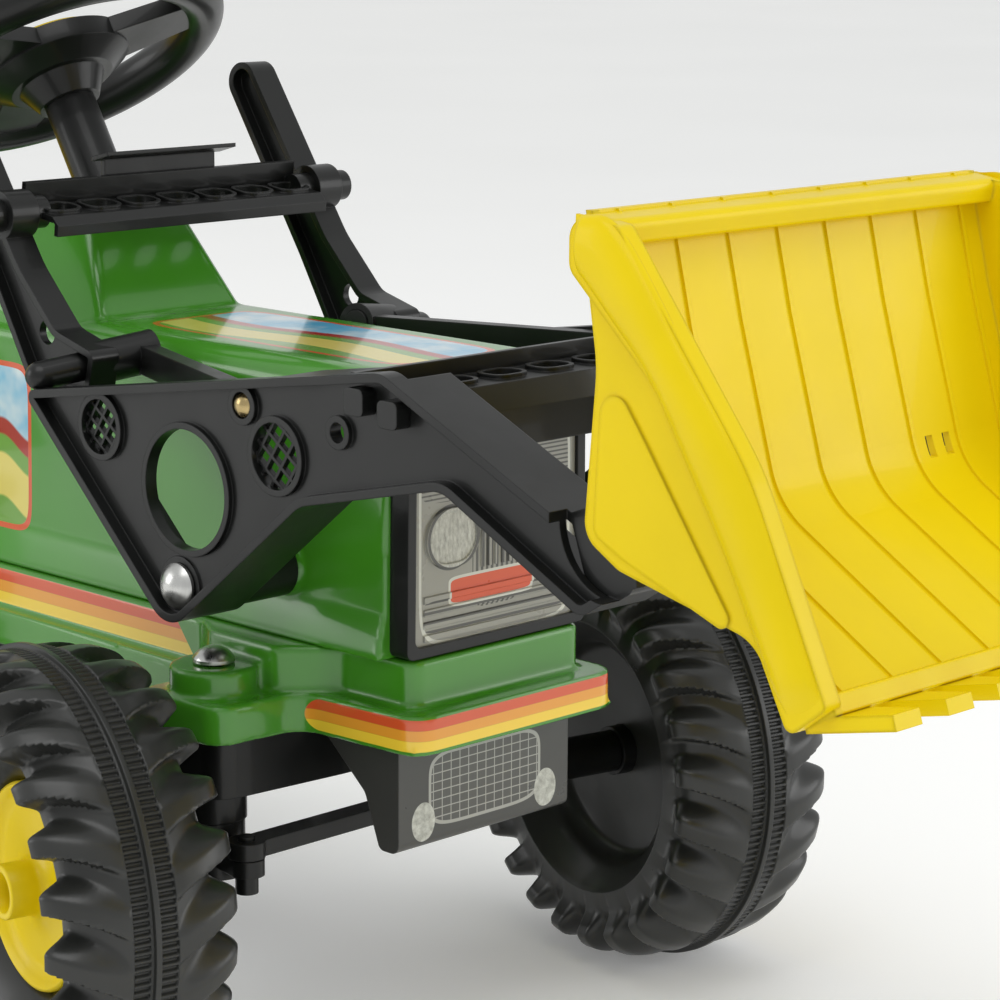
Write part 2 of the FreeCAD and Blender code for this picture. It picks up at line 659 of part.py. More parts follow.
def bushes(x, z, bore):
    """A flanged bush in each chassis wall."""
    pair = []
    for side in (-1, 1):
        inner = side * (CHASSIS_HALF - WALL - 2)
        wall = side * CHASSIS_HALF
        outer = side * (CHASSIS_HALF + 3)
        sleeve = cross_rod(x, z, inner, outer, BUSH_RADIUS)
        flange = cross_rod(x, z, wall, outer, BUSH_RADIUS + 4)
        pair.append(joined(sleeve, flange).cut(cross_rod(x, z, inner, outer, bore + RUNNING_GAP)))
    return Part.makeCompound(pair)


def sprocket(teeth, bore):
    """Toothed disc about the Y axis at the origin; its teeth end just inside the chain."""
    pitch_radius = CHAIN_PITCH / (2 * math.sin(math.pi / teeth))
    tip = pitch_radius - CHAIN_THICK / 2 - 0.4
    root = tip - 3.0
    corners = []
    for i in range(teeth):
        for share, radius in ((-0.32, root), (-0.14, tip), (0.14, tip), (0.32, root)):
            angle = 2 * math.pi * (i + share) / teeth
            corners.append((radius * math.cos(angle), radius * math.sin(angle), 0))
    disc = slab(corners, -2, 2)
    return disc.cut(cross_rod(0, 0, -3, 3, bore))


def chain():
    """The chain's closed loop round both sprockets, as one band."""
    big = CHAIN_PITCH / (2 * math.sin(math.pi / CRANK_TEETH))
    small = CHAIN_PITCH / (2 * math.sin(math.pi / AXLE_TEETH))
    outer = loop_round(big + CHAIN_THICK / 2, small + CHAIN_THICK / 2, CHAIN_Y - 3, CHAIN_Y + 3)
    inner = loop_round(big - CHAIN_THICK / 2, small - CHAIN_THICK / 2, CHAIN_Y - 3, CHAIN_Y + 3)
    return outer.cut(inner)


def loop_round(crank_radius, axle_radius, y_low, y_high):
    """A solid bounded by an open belt round the crank and the rear axle."""
    crank = V(CRANK_X, y_low, CRANK_Z)
    axle = V(REAR_AXLE_X, y_low, REAR_TYRE_RADIUS)
    way = axle - crank
    tilt = math.atan2(way.z, way.x)
    open_angle = math.acos((crank_radius - axle_radius) / way.Length)
    points = []
    for sign in (1, -1):
        angle = tilt + sign * open_angle
        ray = V(math.cos(angle), 0, math.sin(angle))
        points.append((crank + ray * crank_radius, axle + ray * axle_radius))
    (c_up, a_up), (c_low, a_low) = points
    unit = way * (1 / way.Length)
    edges = [Part.LineSegment(c_up, a_up).toShape(),
             Part.Arc(a_up, axle + unit * axle_radius, a_low).toShape(),
             Part.LineSegment(a_low, c_low).toShape(),
             Part.Arc(c_low, crank - unit * crank_radius, c_up).toShape()]
    return Part.Face(Part.Wire(edges)).extrude(V(0, y_high - y_low, 0))


def crank_shaft():
    """One bent steel rod: the axle through the chassis, two opposed arms and the pedal pins."""
    axle = cross_rod(CRANK_X, CRANK_Z, -CRANK_ARM_Y, CRANK_ARM_Y, AXLE_RADIUS)
    pieces = []
    for side in (-1, 1):
        top = V(CRANK_X, side * CRANK_ARM_Y, CRANK_Z)
        end = top + V(0, 0, side * CRANK_ARM)
        pieces.append(rod(top, end, AXLE_RADIUS))
        pieces.append(rod(end, end + V(0, side * (PEDAL_LENGTH + 10), 0), AXLE_RADIUS))
        pieces += [Part.makeSphere(AXLE_RADIUS, top), Part.makeSphere(AXLE_RADIUS, end)]
    return joined(axle, *pieces)


def pedal(side):
    """Flat pedal block with grip ribs, turning on its pin."""
    y_near = CRANK_ARM_Y + 8
    z = CRANK_Z + side * CRANK_ARM
    low, high = sorted((side * y_near, side * (y_near + PEDAL_LENGTH)))
    half = PEDAL_WIDTH / 2
    outline = [(CRANK_X - half, z - 9, 6), (CRANK_X + half, z - 9, 6),
               (CRANK_X + half, z + 9, 6), (CRANK_X - half, z + 9, 6)]
    shape = slab(outline, low, high)
    ribs = 5
    for face in (-1, 1):
        for i in range(ribs):
            x = CRANK_X - half + PEDAL_WIDTH * (i + 0.5) / ribs
            z_low, z_high = sorted((z + face * 9, z + face * 7))
            shape = shape.cut(block(x - 3, x + 3, low + 8, high - 8, z_low, z_high))
    return shape.cut(cross_rod(CRANK_X, z, low, high, AXLE_RADIUS + RUNNING_GAP))


def rear_axle():
    reach = REAR_TRACK / 2 + HUB_OUT - 4
    return cross_rod(REAR_AXLE_X, REAR_TYRE_RADIUS, -reach, reach, AXLE_RADIUS)


# Loader: right-hand pieces, in X and Z with Y on the outside negative

def arm_outline():
    return [(-100, 326, 4), (150, 364, 14), (276, 307, 6), (288, 293, 6), (266, 279, 9), (186, 319, 16),
            (98, 299, 20), (7, 226, 17)]


def ring_lip(x, z, radius, width=3.0):
    """Raised ring round a hole, standing out of the arm's plate."""
    lip = cross_rod(x, z, -ARM_PLATE - 2.5, -ARM_PLATE + ARM_PLATE_THICK, radius + width)
    return lip.cut(cross_rod(x, z, -ARM_PLATE - 2.5, -ARM_PLATE + ARM_PLATE_THICK, radius))


def mesh_bars(x, z, radius):
    """Crossed bars that fill a round hole in the arm's plate."""
    y_low, y_high = -ARM_PLATE + 0.5, -ARM_PLATE + ARM_PLATE_THICK - 0.5
    bars = []
    for slant in (35, 125):
        for step in (-1.5, -0.5, 0.5, 1.5):
            across = step * radius * 0.5
            bar = block(x - radius, x + radius, y_low, y_high, z + across - 0.8, z + across + 0.8)
            bars.append(spun(bar, V(x, 0, z), V(0, 1, 0), slant))
    disc = cross_rod(x, z, y_low, y_high, radius + 0.5)
    return disc.common(bars[0].fuse(bars[1:]))


def loader_arm():
    """Arm: outer plate with a raised edge, flanges behind it that leave the rear top open, and its eyes."""
    outline = arm_outline()
    back = -ARM_PLATE + ARM_PLATE_THICK
    eye_face = -BUCKET_HALF + BUCKET_WALL + 1
    x, z = TUBE_OUT.x, TUBE_OUT.z
    arm = slab(outline, -ARM_RIM_OUT, -ARM_RIM_IN)
    arm = arm.cut(slab(outline, -ARM_RIM_OUT, -ARM_PLATE, inset=ARM_RIM_WALL))
    arm = arm.cut(slab(outline, back, -ARM_RIM_IN, inset=ARM_RIM_WALL))
    arm = arm.cut(slab([(x + 12, 300, 0), (x + 12, 400, 0), (BOLT_PLACE[0] + 20, 400, 0),
                        (BOLT_PLACE[0] + 20, 335, 0), (0, 318, 0)], back, -ARM_RIM_IN))
    arm = arm.cut(slab([(x - 30, z - 16, 0), (x - 30, 400, 0), (x + 20, 400, 0), (x + 20, z - 16, 0)],
                       back, -ARM_RIM_IN))
    for hole_x, hole_z, hole_radius in GRILLES + (BIG_HOLE, SPARE_BOSS):
        hole = cross_rod(hole_x, hole_z, -ARM_RIM_OUT, -ARM_RIM_IN, hole_radius)
        arm = arm.cut(hole).fuse(ring_lip(hole_x, hole_z, hole_radius))
    for grille in GRILLES:
        arm = arm.fuse(mesh_bars(*grille))
    pivot_boss = cross_rod(PIVOT_X, PIVOT_Z, -PIVOT_END, -ARM_INNER, PIVOT_BOSS)
    tube = rod(TUBE_OUT, TUBE_IN, TUBE_RADIUS).fuse(Part.makeSphere(TUBE_RADIUS, TUBE_OUT))
    arm = arm.cut(cross_rod(BUCKET_PIVOT_X, BUCKET_PIVOT_Z, -ARM_RIM_OUT, eye_face, HOOK_RADIUS))
    arm = arm.cut(crossbeam_seat())
    eye = cross_rod(BUCKET_PIVOT_X, BUCKET_PIVOT_Z, eye_face, -ARM_RIM_IN, EYE_RADIUS)
    neck = slab([(250, 318, 0), (BUCKET_PIVOT_X, BUCKET_PIVOT_Z + 12, 0),
                 (BUCKET_PIVOT_X + 7, BUCKET_PIVOT_Z - 11, 0), (BUCKET_PIVOT_X + 8, BUCKET_PIVOT_Z - 24, 0),
                 (262, 284, 0)], eye_face, -ARM_RIM_IN)
    arm = joined(arm, pivot_boss, tube, eye, neck)
    arm = arm.cut(cross_rod(PIVOT_X, PIVOT_Z, -ARM_RIM_OUT, 0, AXLE_RADIUS + RUNNING_GAP))
    arm = arm.cut(cross_rod(*BOLT_PLACE, -ARM_RIM_OUT, -ARM_RIM_IN, BOLT_RADIUS))
    arm = arm.fuse(ring_lip(*BOLT_PLACE, BOLT_RADIUS + 2))
    arm = arm.cut(cross_rod(BUCKET_PIVOT_X, BUCKET_PIVOT_Z, -ARM_RIM_OUT, 0, PEG_RADIUS + RUNNING_GAP))
    for peg_x, peg_z in PEGS:
        arm = arm.cut(cross_rod(peg_x, peg_z, -ARM_RIM_OUT, -ARM_RIM_IN, BOLT_RADIUS))
    return arm


def crossbeam_seat():
    """Room behind the arm's plate for the end of the front crossbeam."""
    rear = CROSSBEAM_X - CROSSBEAM_DEPTH / 2 - SEAT_GAP
    front = CROSSBEAM_X + CROSSBEAM_DEPTH / 2 + BEAM_FLARE + SEAT_GAP
    return block(rear, front, -ARM_PLATE + ARM_PLATE_THICK, -ARM_RIM_IN,
                 CROSSBEAM_Z - CROSSBEAM_DROP - SEAT_GAP, CROSSBEAM_Z + CROSSBEAM_DROP)


def lever_outline():
    return [(-195, 472, 10.5), (-213, 460, 10.5), (-152, 368, 30), (-124, 322, 14), (-80, 320, 8),
            (-74, 344, 5), (-104, 352, 12), (-132, 380, 50)]


def lever():
    """Hand lever: a channelled bar on the arm's tube, with a stay from the tube forward to the arm's bolt."""
    low, high = -LEVER_Y - LEVER_WIDTH / 2, -LEVER_Y + LEVER_WIDTH / 2
    back = -ARM_PLATE + ARM_PLATE_THICK
    outline = lever_outline()
    bar = slab(outline, low, high)
    for start, end in ((low, -LEVER_Y - 2), (-LEVER_Y + 2, high)):
        bar = bar.cut(slab(outline, start, end, inset=3.5))
    x, z = TUBE_IN.x, TUBE_IN.z
    bolt_x, bolt_z = BOLT_PLACE
    along = TUBE_OUT - TUBE_IN
    along.normalize()
    tube_eye = rod(TUBE_IN + along, TUBE_IN + along * 38, TUBE_RADIUS + 3.5)
    stay = plan([(x - 4, -ARM_INNER - 1, 0), (x - 4, -ARM_INNER - 10, 0), (bolt_x - 14, back, 0),
                 (bolt_x + 12, back, 0), (bolt_x + 12, back + 7, 0), (bolt_x - 8, back + 7, 0)],
                z - 10, z + 4)
    pad = cross_rod(bolt_x, bolt_z, back, back + 7, 9)
    eye = cross_rod(CROSS_BAR_X, CROSS_BAR_Z, low, high, 12)
    bar = joined(bar, tube_eye, stay, pad, eye)
    bar = bar.cut(rod(TUBE_OUT, TUBE_IN, TUBE_RADIUS))
    bar = bar.cut(cross_rod(CROSS_BAR_X, CROSS_BAR_Z, low, high, BAR_END_RADIUS))
    bar = bar.cut(cross_rod(bolt_x, bolt_z, -ARM_RIM_OUT, 0, BOLT_RADIUS))
    return bar.cut(cross_rod(-118, 349, low, high, 6)).removeSplitter()


def channel_beam(half, depth, rise, drop, holes):
    """A moulded beam along Y: a web with rimmed oval holes, a wall up behind it and a wall down in front."""
    web = block(-depth / 2, depth / 2, -half, half, -3, 0)
    rear = block(-depth / 2, -depth / 2 + 3, -half, half, -8, rise)
    edge = depth / 2 + BEAM_FLARE
    front = section_xz([(depth / 2 - 3, 0), (depth / 2, 0), (edge, -drop * 0.4), (edge, -drop),
                        (edge - 3, -drop), (edge - 3, -drop * 0.38)], half)
    beam = joined(web, rear, front)
    pitch = 2 * half / holes
    for i in range(holes):
        y = -half + pitch * (i + 0.5)
        oval = [(-6, y - 9, 5.9), (8, y - 9, 5.9), (8, y + 9, 5.9), (-6, y + 9, 5.9)]
        rim_oval = [(-8, y - 11, 7.5), (10, y - 11, 7.5), (10, y + 11, 7.5), (-8, y + 11, 7.5)]
        beam = beam.fuse(plan(rim_oval, -3, 2)).cut(plan(oval, -4, 4))
    return beam


def section_xz(points, half):
    wire = Part.makePolygon([V(x, -half, z) for x, z in points + points[:1]])
    return Part.Face(wire).extrude(V(0, 2 * half, 0))


def front_crossbeam():
    """Beam between the arms at their knees, with two pegs through each arm's plate."""
    half = ARM_PLATE - ARM_PLATE_THICK
    beam = channel_beam(half, CROSSBEAM_DEPTH, CROSSBEAM_RISE, CROSSBEAM_DROP, 8)
    beam = moved(beam, V(CROSSBEAM_X, 0, CROSSBEAM_Z))
    pegs = []
    for x, z in PEGS:
        for side in (-1, 1):
            end = side * (ARM_PLATE + 8)
            pegs.append(cross_rod(x, z, side * (half - 1), end, BOLT_RADIUS))
            y_low, y_high = sorted((side * (ARM_PLATE + 0.2), end))
            head = [(x - 6, z - 6, 3), (x + 6, z - 6, 3), (x + 6, z + 6, 3), (x - 6, z + 6, 3)]
            pegs.append(slab(head, y_low, y_high))
    return beam.fuse(pegs)


def lever_crossbar():
    """Bar between the levers: a channel with round ends that pass through the levers' eyes."""
    half = LEVER_Y - LEVER_WIDTH / 2 - 4
    beam = spun(channel_beam(half, 26, 12, 9, 7), V(0, 0, 0), V(0, 1, 0), 8)
    beam = moved(beam, V(CROSS_BAR_X + 4, 0, CROSS_BAR_Z + 1))
    ends = []
    for side in (-1, 1):
        ends.append(cross_rod(CROSS_BAR_X, CROSS_BAR_Z, side * (half - 6), side * (LEVER_Y + 18),
                              BAR_END_RADIUS))
    return beam.fuse(ends + [grip_plate()])


def grip_plate():
    """Thin angle along the middle of the bar's rear wall, for the fingers."""
    x, z = CROSS_BAR_X - 8, CROSS_BAR_Z
    web = block(x - 3, x, -GRIP_HALF + 6, GRIP_HALF - 6, z, z + 24)
    top = section_xz([(x - 3, z + 24), (x + 10, z + 27), (x + 10, z + 25), (x - 3, z + 21.5)], GRIP_HALF)
    return web.fuse(top)


def arm_bolts():
    """Bolt and nut that hold each lever's stay to its arm."""
    pieces = []
    x, z = BOLT_PLACE
    inner = ARM_PLATE - ARM_PLATE_THICK - 7
    for side in (-1, 1):
        head = dome(V(x, side * (ARM_PLATE + CAP_FLANGE), z), V(0, side, 0), BOLT_RADIUS + 1.5, 3)
        shank = cross_rod(x, z, side * (inner - 5), side * (ARM_PLATE + 1), BOLT_RADIUS)
        nut = cross_rod(x, z, side * (inner - 4), side * inner, BOLT_RADIUS + 3)
        pieces.append(joined(head, shank, nut))
    return Part.makeCompound(pieces)


# Bucket

def bucket_side_outline():
    x, z = BUCKET_PIVOT_X, BUCKET_PIVOT_Z
    return [(258, 440, 12), (283, 437, 5), (352, 350, 120), (392, 266, 3), (374, 252, 4), (350, 284, 20),
            (x + 2, z - 17, 12), (x - 17, z - 6, 12), (268, 380, 60)]


def scoop_curve(offset):
    """Inner back of the bucket from its top edge down to its lip, pushed back by offset."""
    return [(264 - offset, 441, 0), (276 - offset, 392, 60), (298 - offset * 0.8, 318 - offset * 0.6, 38),
            (388, 264 - offset, 0)]


def scoop_shell(y_low, y_high, outer, inner):
    """The part of the bucket's curved back between two offsets and two Y planes."""
    shell = slab(scoop_curve(outer) + [(395, 274, 0), (420, 480, 0)], y_low, y_high)
    shell = shell.cut(slab(scoop_curve(inner) + [(400, 270, 0), (420, 490, 0), (264, 490, 0)], y_low, y_high))
    keep = slab([(240, 441, 0), (284, 441, 0), (396, 266, 0), (396, 230, 0), (240, 230, 0)], y_low, y_high)
    return shell.common(keep)


def bucket():
    """Scoop with side walls, a raised edge band, ribs and clip slots, teeth, and a peg on each side."""
    side = slab(bucket_side_outline(), -BUCKET_HALF, -BUCKET_HALF + BUCKET_WALL)
    panel = slab([(272, 384, 8), (296, 352, 20), (346, 282, 4), (284, 305, 10), (268, 313, 6)],
                 -BUCKET_HALF - 1.2, -BUCKET_HALF)
    rim_band = slab([(258, 440, 9), (283, 437, 5), (352, 350, 120), (392, 266, 3), (374, 252, 4),
                     (341, 316, 100), (303, 377, 60), (258, 418, 8)], -BUCKET_HALF - 6, -BUCKET_HALF)
    peg = cross_rod(BUCKET_PIVOT_X, BUCKET_PIVOT_Z, -BUCKET_HALF + 1, -ARM_RIM_IN, PEG_RADIUS)
    right = [side, panel, rim_band, peg]
    top_band = slab([(257, 441, 4), (278, 438, 4), (276, 428, 2), (262, 428, 3)], -BUCKET_HALF, BUCKET_HALF)
    lip = slab([(372, 252, 1), (392, 263, 1), (388, 270, 1), (366, 262, 1)], -BUCKET_HALF, BUCKET_HALF)
    shell = scoop_shell(-BUCKET_HALF + 0.5, BUCKET_HALF - 0.5, BUCKET_WALL, 0.0)
    ribs = []
    for i in range(RIB_COUNT):
        y = (i - (RIB_COUNT - 1) / 2) * 2 * BUCKET_HALF / RIB_COUNT
        ribs.append(scoop_shell(y - 1.2, y + 1.2, 0.5, -1.2))
    whole = shell.fuse(right + [mirrored(piece) for piece in right] + [top_band, lip] + ribs + bucket_teeth())
    for y in CLIP_SLOTS:
        whole = whole.cut(block(270, 312, y - 2.5, y + 2.5, 324, 333))
    return whole.removeSplitter()


def bucket_teeth():
    """Row of flat tapered teeth along the lip."""
    teeth = []
    pitch = (2 * BUCKET_HALF - 24) / (TOOTH_COUNT - 1)
    root = V(378, 0, 253)
    tip = root + V(TOOTH_LENGTH + 10, 0, 8)
    for i in range(TOOTH_COUNT):
        y = -BUCKET_HALF + 12 + pitch * i
        low = Part.makePolygon([root + V(0, y - 12, 0), root + V(0, y + 12, 0), tip + V(0, y + 8, 0),
                                tip + V(0, y - 8, 0), root + V(0, y - 12, 0)])
        teeth.append(Part.Face(low).extrude(V(-2, 0, 6)))
    return teeth


# Seat and rear body

def rear_body():
    """Hollow seat pedestal that rests on the chassis by two ribs."""
    rear = REAR_AXLE_X - 84
    half = SPINE_HALF - WALL
    pedestal = [(SPINE_REAR, SKIRT_BOTTOM, 0), (SPINE_REAR, PLATEAU_TOP, 10),
                (SPINE_REAR - 36, PLATEAU_TOP + 14, 40), (SPINE_REAR - 66, PEDESTAL_TOP, 20),
                (rear + 14, PEDESTAL_TOP, 24), (rear, SKIRT_BOTTOM, 0)]
    body = slab(pedestal, -SPINE_HALF, SPINE_HALF)
    inside = slab(pedestal, -half, half, inset=WALL)
    mouth = block(rear + 9, SPINE_REAR - WALL, -half, half, SKIRT_BOTTOM, SKIRT_BOTTOM + 30)
    body = body.cut(inside.fuse(mouth)).cut(tray_room())
    ribs = []
    for x in (SEAT_X + 40, SEAT_X - 80):
        ribs.append(block(x, x + WALL, -SPINE_HALF + 1, SPINE_HALF - 1, CHASSIS_TOP, PEDESTAL_TOP - 1))
    body = joined(body, *ribs)
    for hole in seat_bolt_places():
        body = body.cut(Part.makeCylinder(SEAT_BOLT_RADIUS, 40, hole - V(0, 0, 30)))
    return body


def fender(side):
    """Curved guard over a rear wheel: a slice of a drum, cut out by a wedge."""
    inner = REAR_TYRE_RADIUS + FENDER_GAP
    outer = inner + WALL
    y_low, y_high = sorted((side * (REAR_TRACK / 2 + FENDER_HALF), side * SPINE_HALF))
    start, end = FENDER_ARC
    whole = cross_rod(REAR_AXLE_X, REAR_TYRE_RADIUS, y_low, y_high, outer)
    whole = whole.cut(cross_rod(REAR_AXLE_X, REAR_TYRE_RADIUS, y_low, y_high, inner))
    reach = outer * 2.2
    wedge = [(0, 0)]
    for step in range(5):
        angle = math.radians(start + (end - start) * step / 4)
        wedge.append((reach * math.cos(angle), reach * math.sin(angle)))
    wire = Part.makePolygon([V(REAR_AXLE_X + x, y_low, REAR_TYRE_RADIUS + z) for x, z in wedge + wedge[:1]])
    return whole.common(Part.Face(wire).extrude(V(0, y_high - y_low, 0)))


def seat():
    """Moulded seat: a pan with a curved back and raised sides."""
    low = PEDESTAL_TOP
    front, back = SEAT_X + SEAT_LENGTH / 2, SEAT_X - SEAT_LENGTH / 2
    outline = [(front, low, 4), (front + 4, low + 18, 8), (SEAT_X + 10, low + 42, 60),
               (back + 34, low + 84, 40), (back - 12, low + 146, 8), (back - 28, low + 142, 8),
               (back, low, 30)]
    room = [(front + 30, low + 16, 0), (front - 12, low + SEAT_WALL + 6, 30),
            (SEAT_X + 20, low + SEAT_WALL, 60), (back + 16, low + SEAT_WALL + 2, 46),
            (back - 20, low + 160, 0), (front + 30, low + 160, 0)]
    shape = slab(outline, -SEAT_HALF, SEAT_HALF)
    edge = both_sides([(front + 10, SEAT_HALF - 18, 40), (SEAT_X - 30, SEAT_HALF, 60),
                       (back - 40, SEAT_HALF - 26, 50)])
    shape = shape.common(plan(edge, low - 5, low + 160))
    inner = both_sides([(front + 10, SEAT_HALF - 26, 36), (SEAT_X - 30, SEAT_HALF - 8, 54),
                        (back - 40, SEAT_HALF - 34, 44)])
    shape = shape.cut(slab(room, -SEAT_HALF, SEAT_HALF).common(plan(inner, low - 5, low + 170)))
    for hole in seat_bolt_places():
        shape = shape.cut(Part.makeCylinder(SEAT_BOLT_RADIUS, 40, hole - V(0, 0, 20)))
        shape = shape.cut(Part.makeCylinder(SEAT_BOLT_HEAD + 0.7, 40, hole + V(0, 0, SEAT_WALL)))
    return shape


def seat_bolt_places():
    """Points on the pedestal's top where the seat is bolted down."""
    rows = (SEAT_X + 22, SEAT_X - 44)
    return [V(x, side * SEAT_BOLT_Y, PEDESTAL_TOP) for x in rows for side in (-1, 1)]


def seat_bolts():
    """Round-headed bolts through the seat pan, with a nut under the pedestal."""
    bolts = []
    for spot in seat_bolt_places():
        shank = rod(spot - V(0, 0, WALL + 6), spot + V(0, 0, SEAT_WALL + 1), SEAT_BOLT_RADIUS)
        head = dome(spot + V(0, 0, SEAT_WALL + CAP_FLANGE + 0.2), V(0, 0, 1), SEAT_BOLT_HEAD, 3)
        nut = rod(spot - V(0, 0, WALL + 5), spot - V(0, 0, WALL), SEAT_BOLT_NUT)
        bolts.append(joined(shank, head, nut))
    return Part.makeCompound(bolts)


def hitch():
    """Towing tongue at the rear with an upright hole for a trailer's pin."""
    tongue = plan([(CHASSIS_REAR + 60, -22, 4), (CHASSIS_REAR + 60, 22, 4), (CHASSIS_REAR - 70, 16, 15),
                   (CHASSIS_REAR - 70, -16, 15)], CHASSIS_BOTTOM - TOW_THICK, CHASSIS_BOTTOM)
    under = V(CHASSIS_REAR - 54, 0, CHASSIS_BOTTOM - TOW_THICK)
    return tongue.cut(Part.makeCylinder(TOW_HOLE_RADIUS, TOW_THICK, under))


def place_front_wheel(shape, side):
    """Puts a wheel piece on its stub axle, on the right (-1) or left (1), turned as the photo shows."""
    piece = shape if side < 0 else mirrored(shape)
    piece = moved(piece, V(0, side * FRONT_TRACK / 2, FRONT_TYRE_RADIUS))
    return spun(piece, V(0, side * KINGPIN_Y, 0), V(0, 0, 1), STEER_AT_REST)


def place_rear_wheel(shape, side):
    piece = shape if side < 0 else mirrored(shape)
    return moved(piece, V(REAR_AXLE_X, side * REAR_TRACK / 2, REAR_TYRE_RADIUS))


def build():
    pieces = {}
    pieces["base_body"] = base_body()
    pieces["bonnet"] = bonnet()
    pieces["grille_frame"] = grille_frame()
    pieces["grille_panel"] = grille_panel()
    pieces["front_weight"] = front_weight()
    pieces["front_axle_beam"] = front_axle_beam()
    pieces["chassis"] = chassis()
    pieces["rear_body"] = rear_body()
    pieces["fender_right"] = fender(-1)
    pieces["fender_left"] = fender(1)
    pieces["seat"] = seat()
    pieces["seat_bolts"] = seat_bolts()
    pieces["tow_hitch"] = hitch()
    pieces["crank_bushes"] = bushes(CRANK_X, CRANK_Z, AXLE_RADIUS)
    pieces["axle_bushes"] = bushes(REAR_AXLE_X, REAR_TYRE_RADIUS, AXLE_RADIUS)
    pieces["drive_chain"] = chain()
    rod_end = PIVOT_END + SIDE_GAP
    pieces["pivot_rod"] = cross_rod(PIVOT_X, PIVOT_Z, -rod_end, rod_end, AXLE_RADIUS)
    caps = []
    for side in (-1, 1):
        cap_seat = V(PIVOT_X, side * (rod_end + CAP_FLANGE), PIVOT_Z)
        caps.append(dome(cap_seat, V(0, side, 0), PIVOT_CAP, CAP_HEIGHT))
    pieces["pivot_caps"] = Part.makeCompound(caps)

    wheel = front_wheel_pieces()
    turn = (V(0, 0, 1), STEER_AT_REST)
    for side, name in ((-1, "right"), (1, "left")):
        pieces["front_tyre_" + name] = place_front_wheel(wheel["tyre"], side)
        pieces["front_rim_" + name] = place_front_wheel(wheel["rim"], side)
        pieces["front_retainer_" + name] = place_front_wheel(wheel["retainer"], side)
        shape = knuckle() if side < 0 else mirrored(knuckle())
        pieces["knuckle_" + name] = spun(shape, V(0, side * KINGPIN_Y, 0), *turn)
        cap_seat = V(0, side * KINGPIN_Y, KINGPIN_TOP + CAP_FLANGE)
        pieces["kingpin_cap_" + name] = dome(cap_seat, V(0, 0, 1), KINGPIN_CAP, CAP_HEIGHT)
    steer = math.radians(STEER_AT_REST)
    shift = V(STEERING_ARM * (math.cos(steer) - 1), STEERING_ARM * math.sin(steer), 0)
    pieces["tie_rod"] = moved(tie_rod(), shift)
    column = (COLUMN_FOOT, column_axis(), STEER_AT_REST)
    pieces["steering_rod"] = spun(steering_rod(), *column)
    pieces["column_sleeve"] = spun(column_sleeve(), *column)
    pieces["steering_wheel"] = spun(steering_wheel(), *column)
    pieces["steering_cap"] = spun(steering_cap(), *column)
    pieces["column_screw"] = spun(column_screw(), *column)

    rear_tyre = tyre(REAR_TYRE_RADIUS, REAR_TYRE_WIDTH, REAR_OPENING, REAR_LUGS)
    rear_rim = rim(REAR_OPENING, AXLE_RADIUS)
    for side, name in ((-1, "right"), (1, "left")):
        pieces["rear_tyre_" + name] = place_rear_wheel(rear_tyre, side)
        pieces["rear_rim_" + name] = place_rear_wheel(rear_rim, side)
    pieces["rear_axle"] = rear_axle()
    axle_wheel = V(REAR_AXLE_X, CHAIN_Y, REAR_TYRE_RADIUS)
    crank_wheel = V(CRANK_X, CHAIN_Y, CRANK_Z)
    pieces["axle_sprocket"] = moved(sprocket(AXLE_TEETH, AXLE_RADIUS), axle_wheel)
    pieces["crank_sprocket"] = moved(sprocket(CRANK_TEETH, AXLE_RADIUS), crank_wheel)
    pieces["crank_shaft"] = crank_shaft()
    pieces["pedal_right"] = pedal(-1)
    pieces["pedal_left"] = pedal(1)

    right_arm, right_lever = loader_arm(), lever()
    pieces["loader_arm_right"] = right_arm
    pieces["loader_arm_left"] = mirrored(right_arm)
    pieces["lever_right"] = right_lever
    pieces["lever_left"] = mirrored(right_lever)
    pieces["arm_bolts"] = arm_bolts()
    pieces["front_crossbeam"] = front_crossbeam()
    pieces["lever_crossbar"] = lever_crossbar()
    pieces["bucket"] = bucket()
    return pieces


def main():
    os.makedirs("parts", exist_ok=True)
    pieces = build()
    box = FreeCAD.BoundBox()
    for shape in pieces.values():
        box.add(shape.BoundBox)
    middle = V(-(box.XMin + box.XMax) / 2, 0, 0)
    for name, shape in pieces.items():
        moved(shape, middle).exportStep(os.path.join("parts", name + ".step"))
    print("origin is", round(middle.x, 3), "mm behind the front axle; box", box)


main()
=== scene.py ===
"""Pedal tractor with front loader: materials, moulded wheels and flanges, light and camera over the frame."""
import json
import math

import bpy
import numpy as np
from mathutils import Matrix, Vector

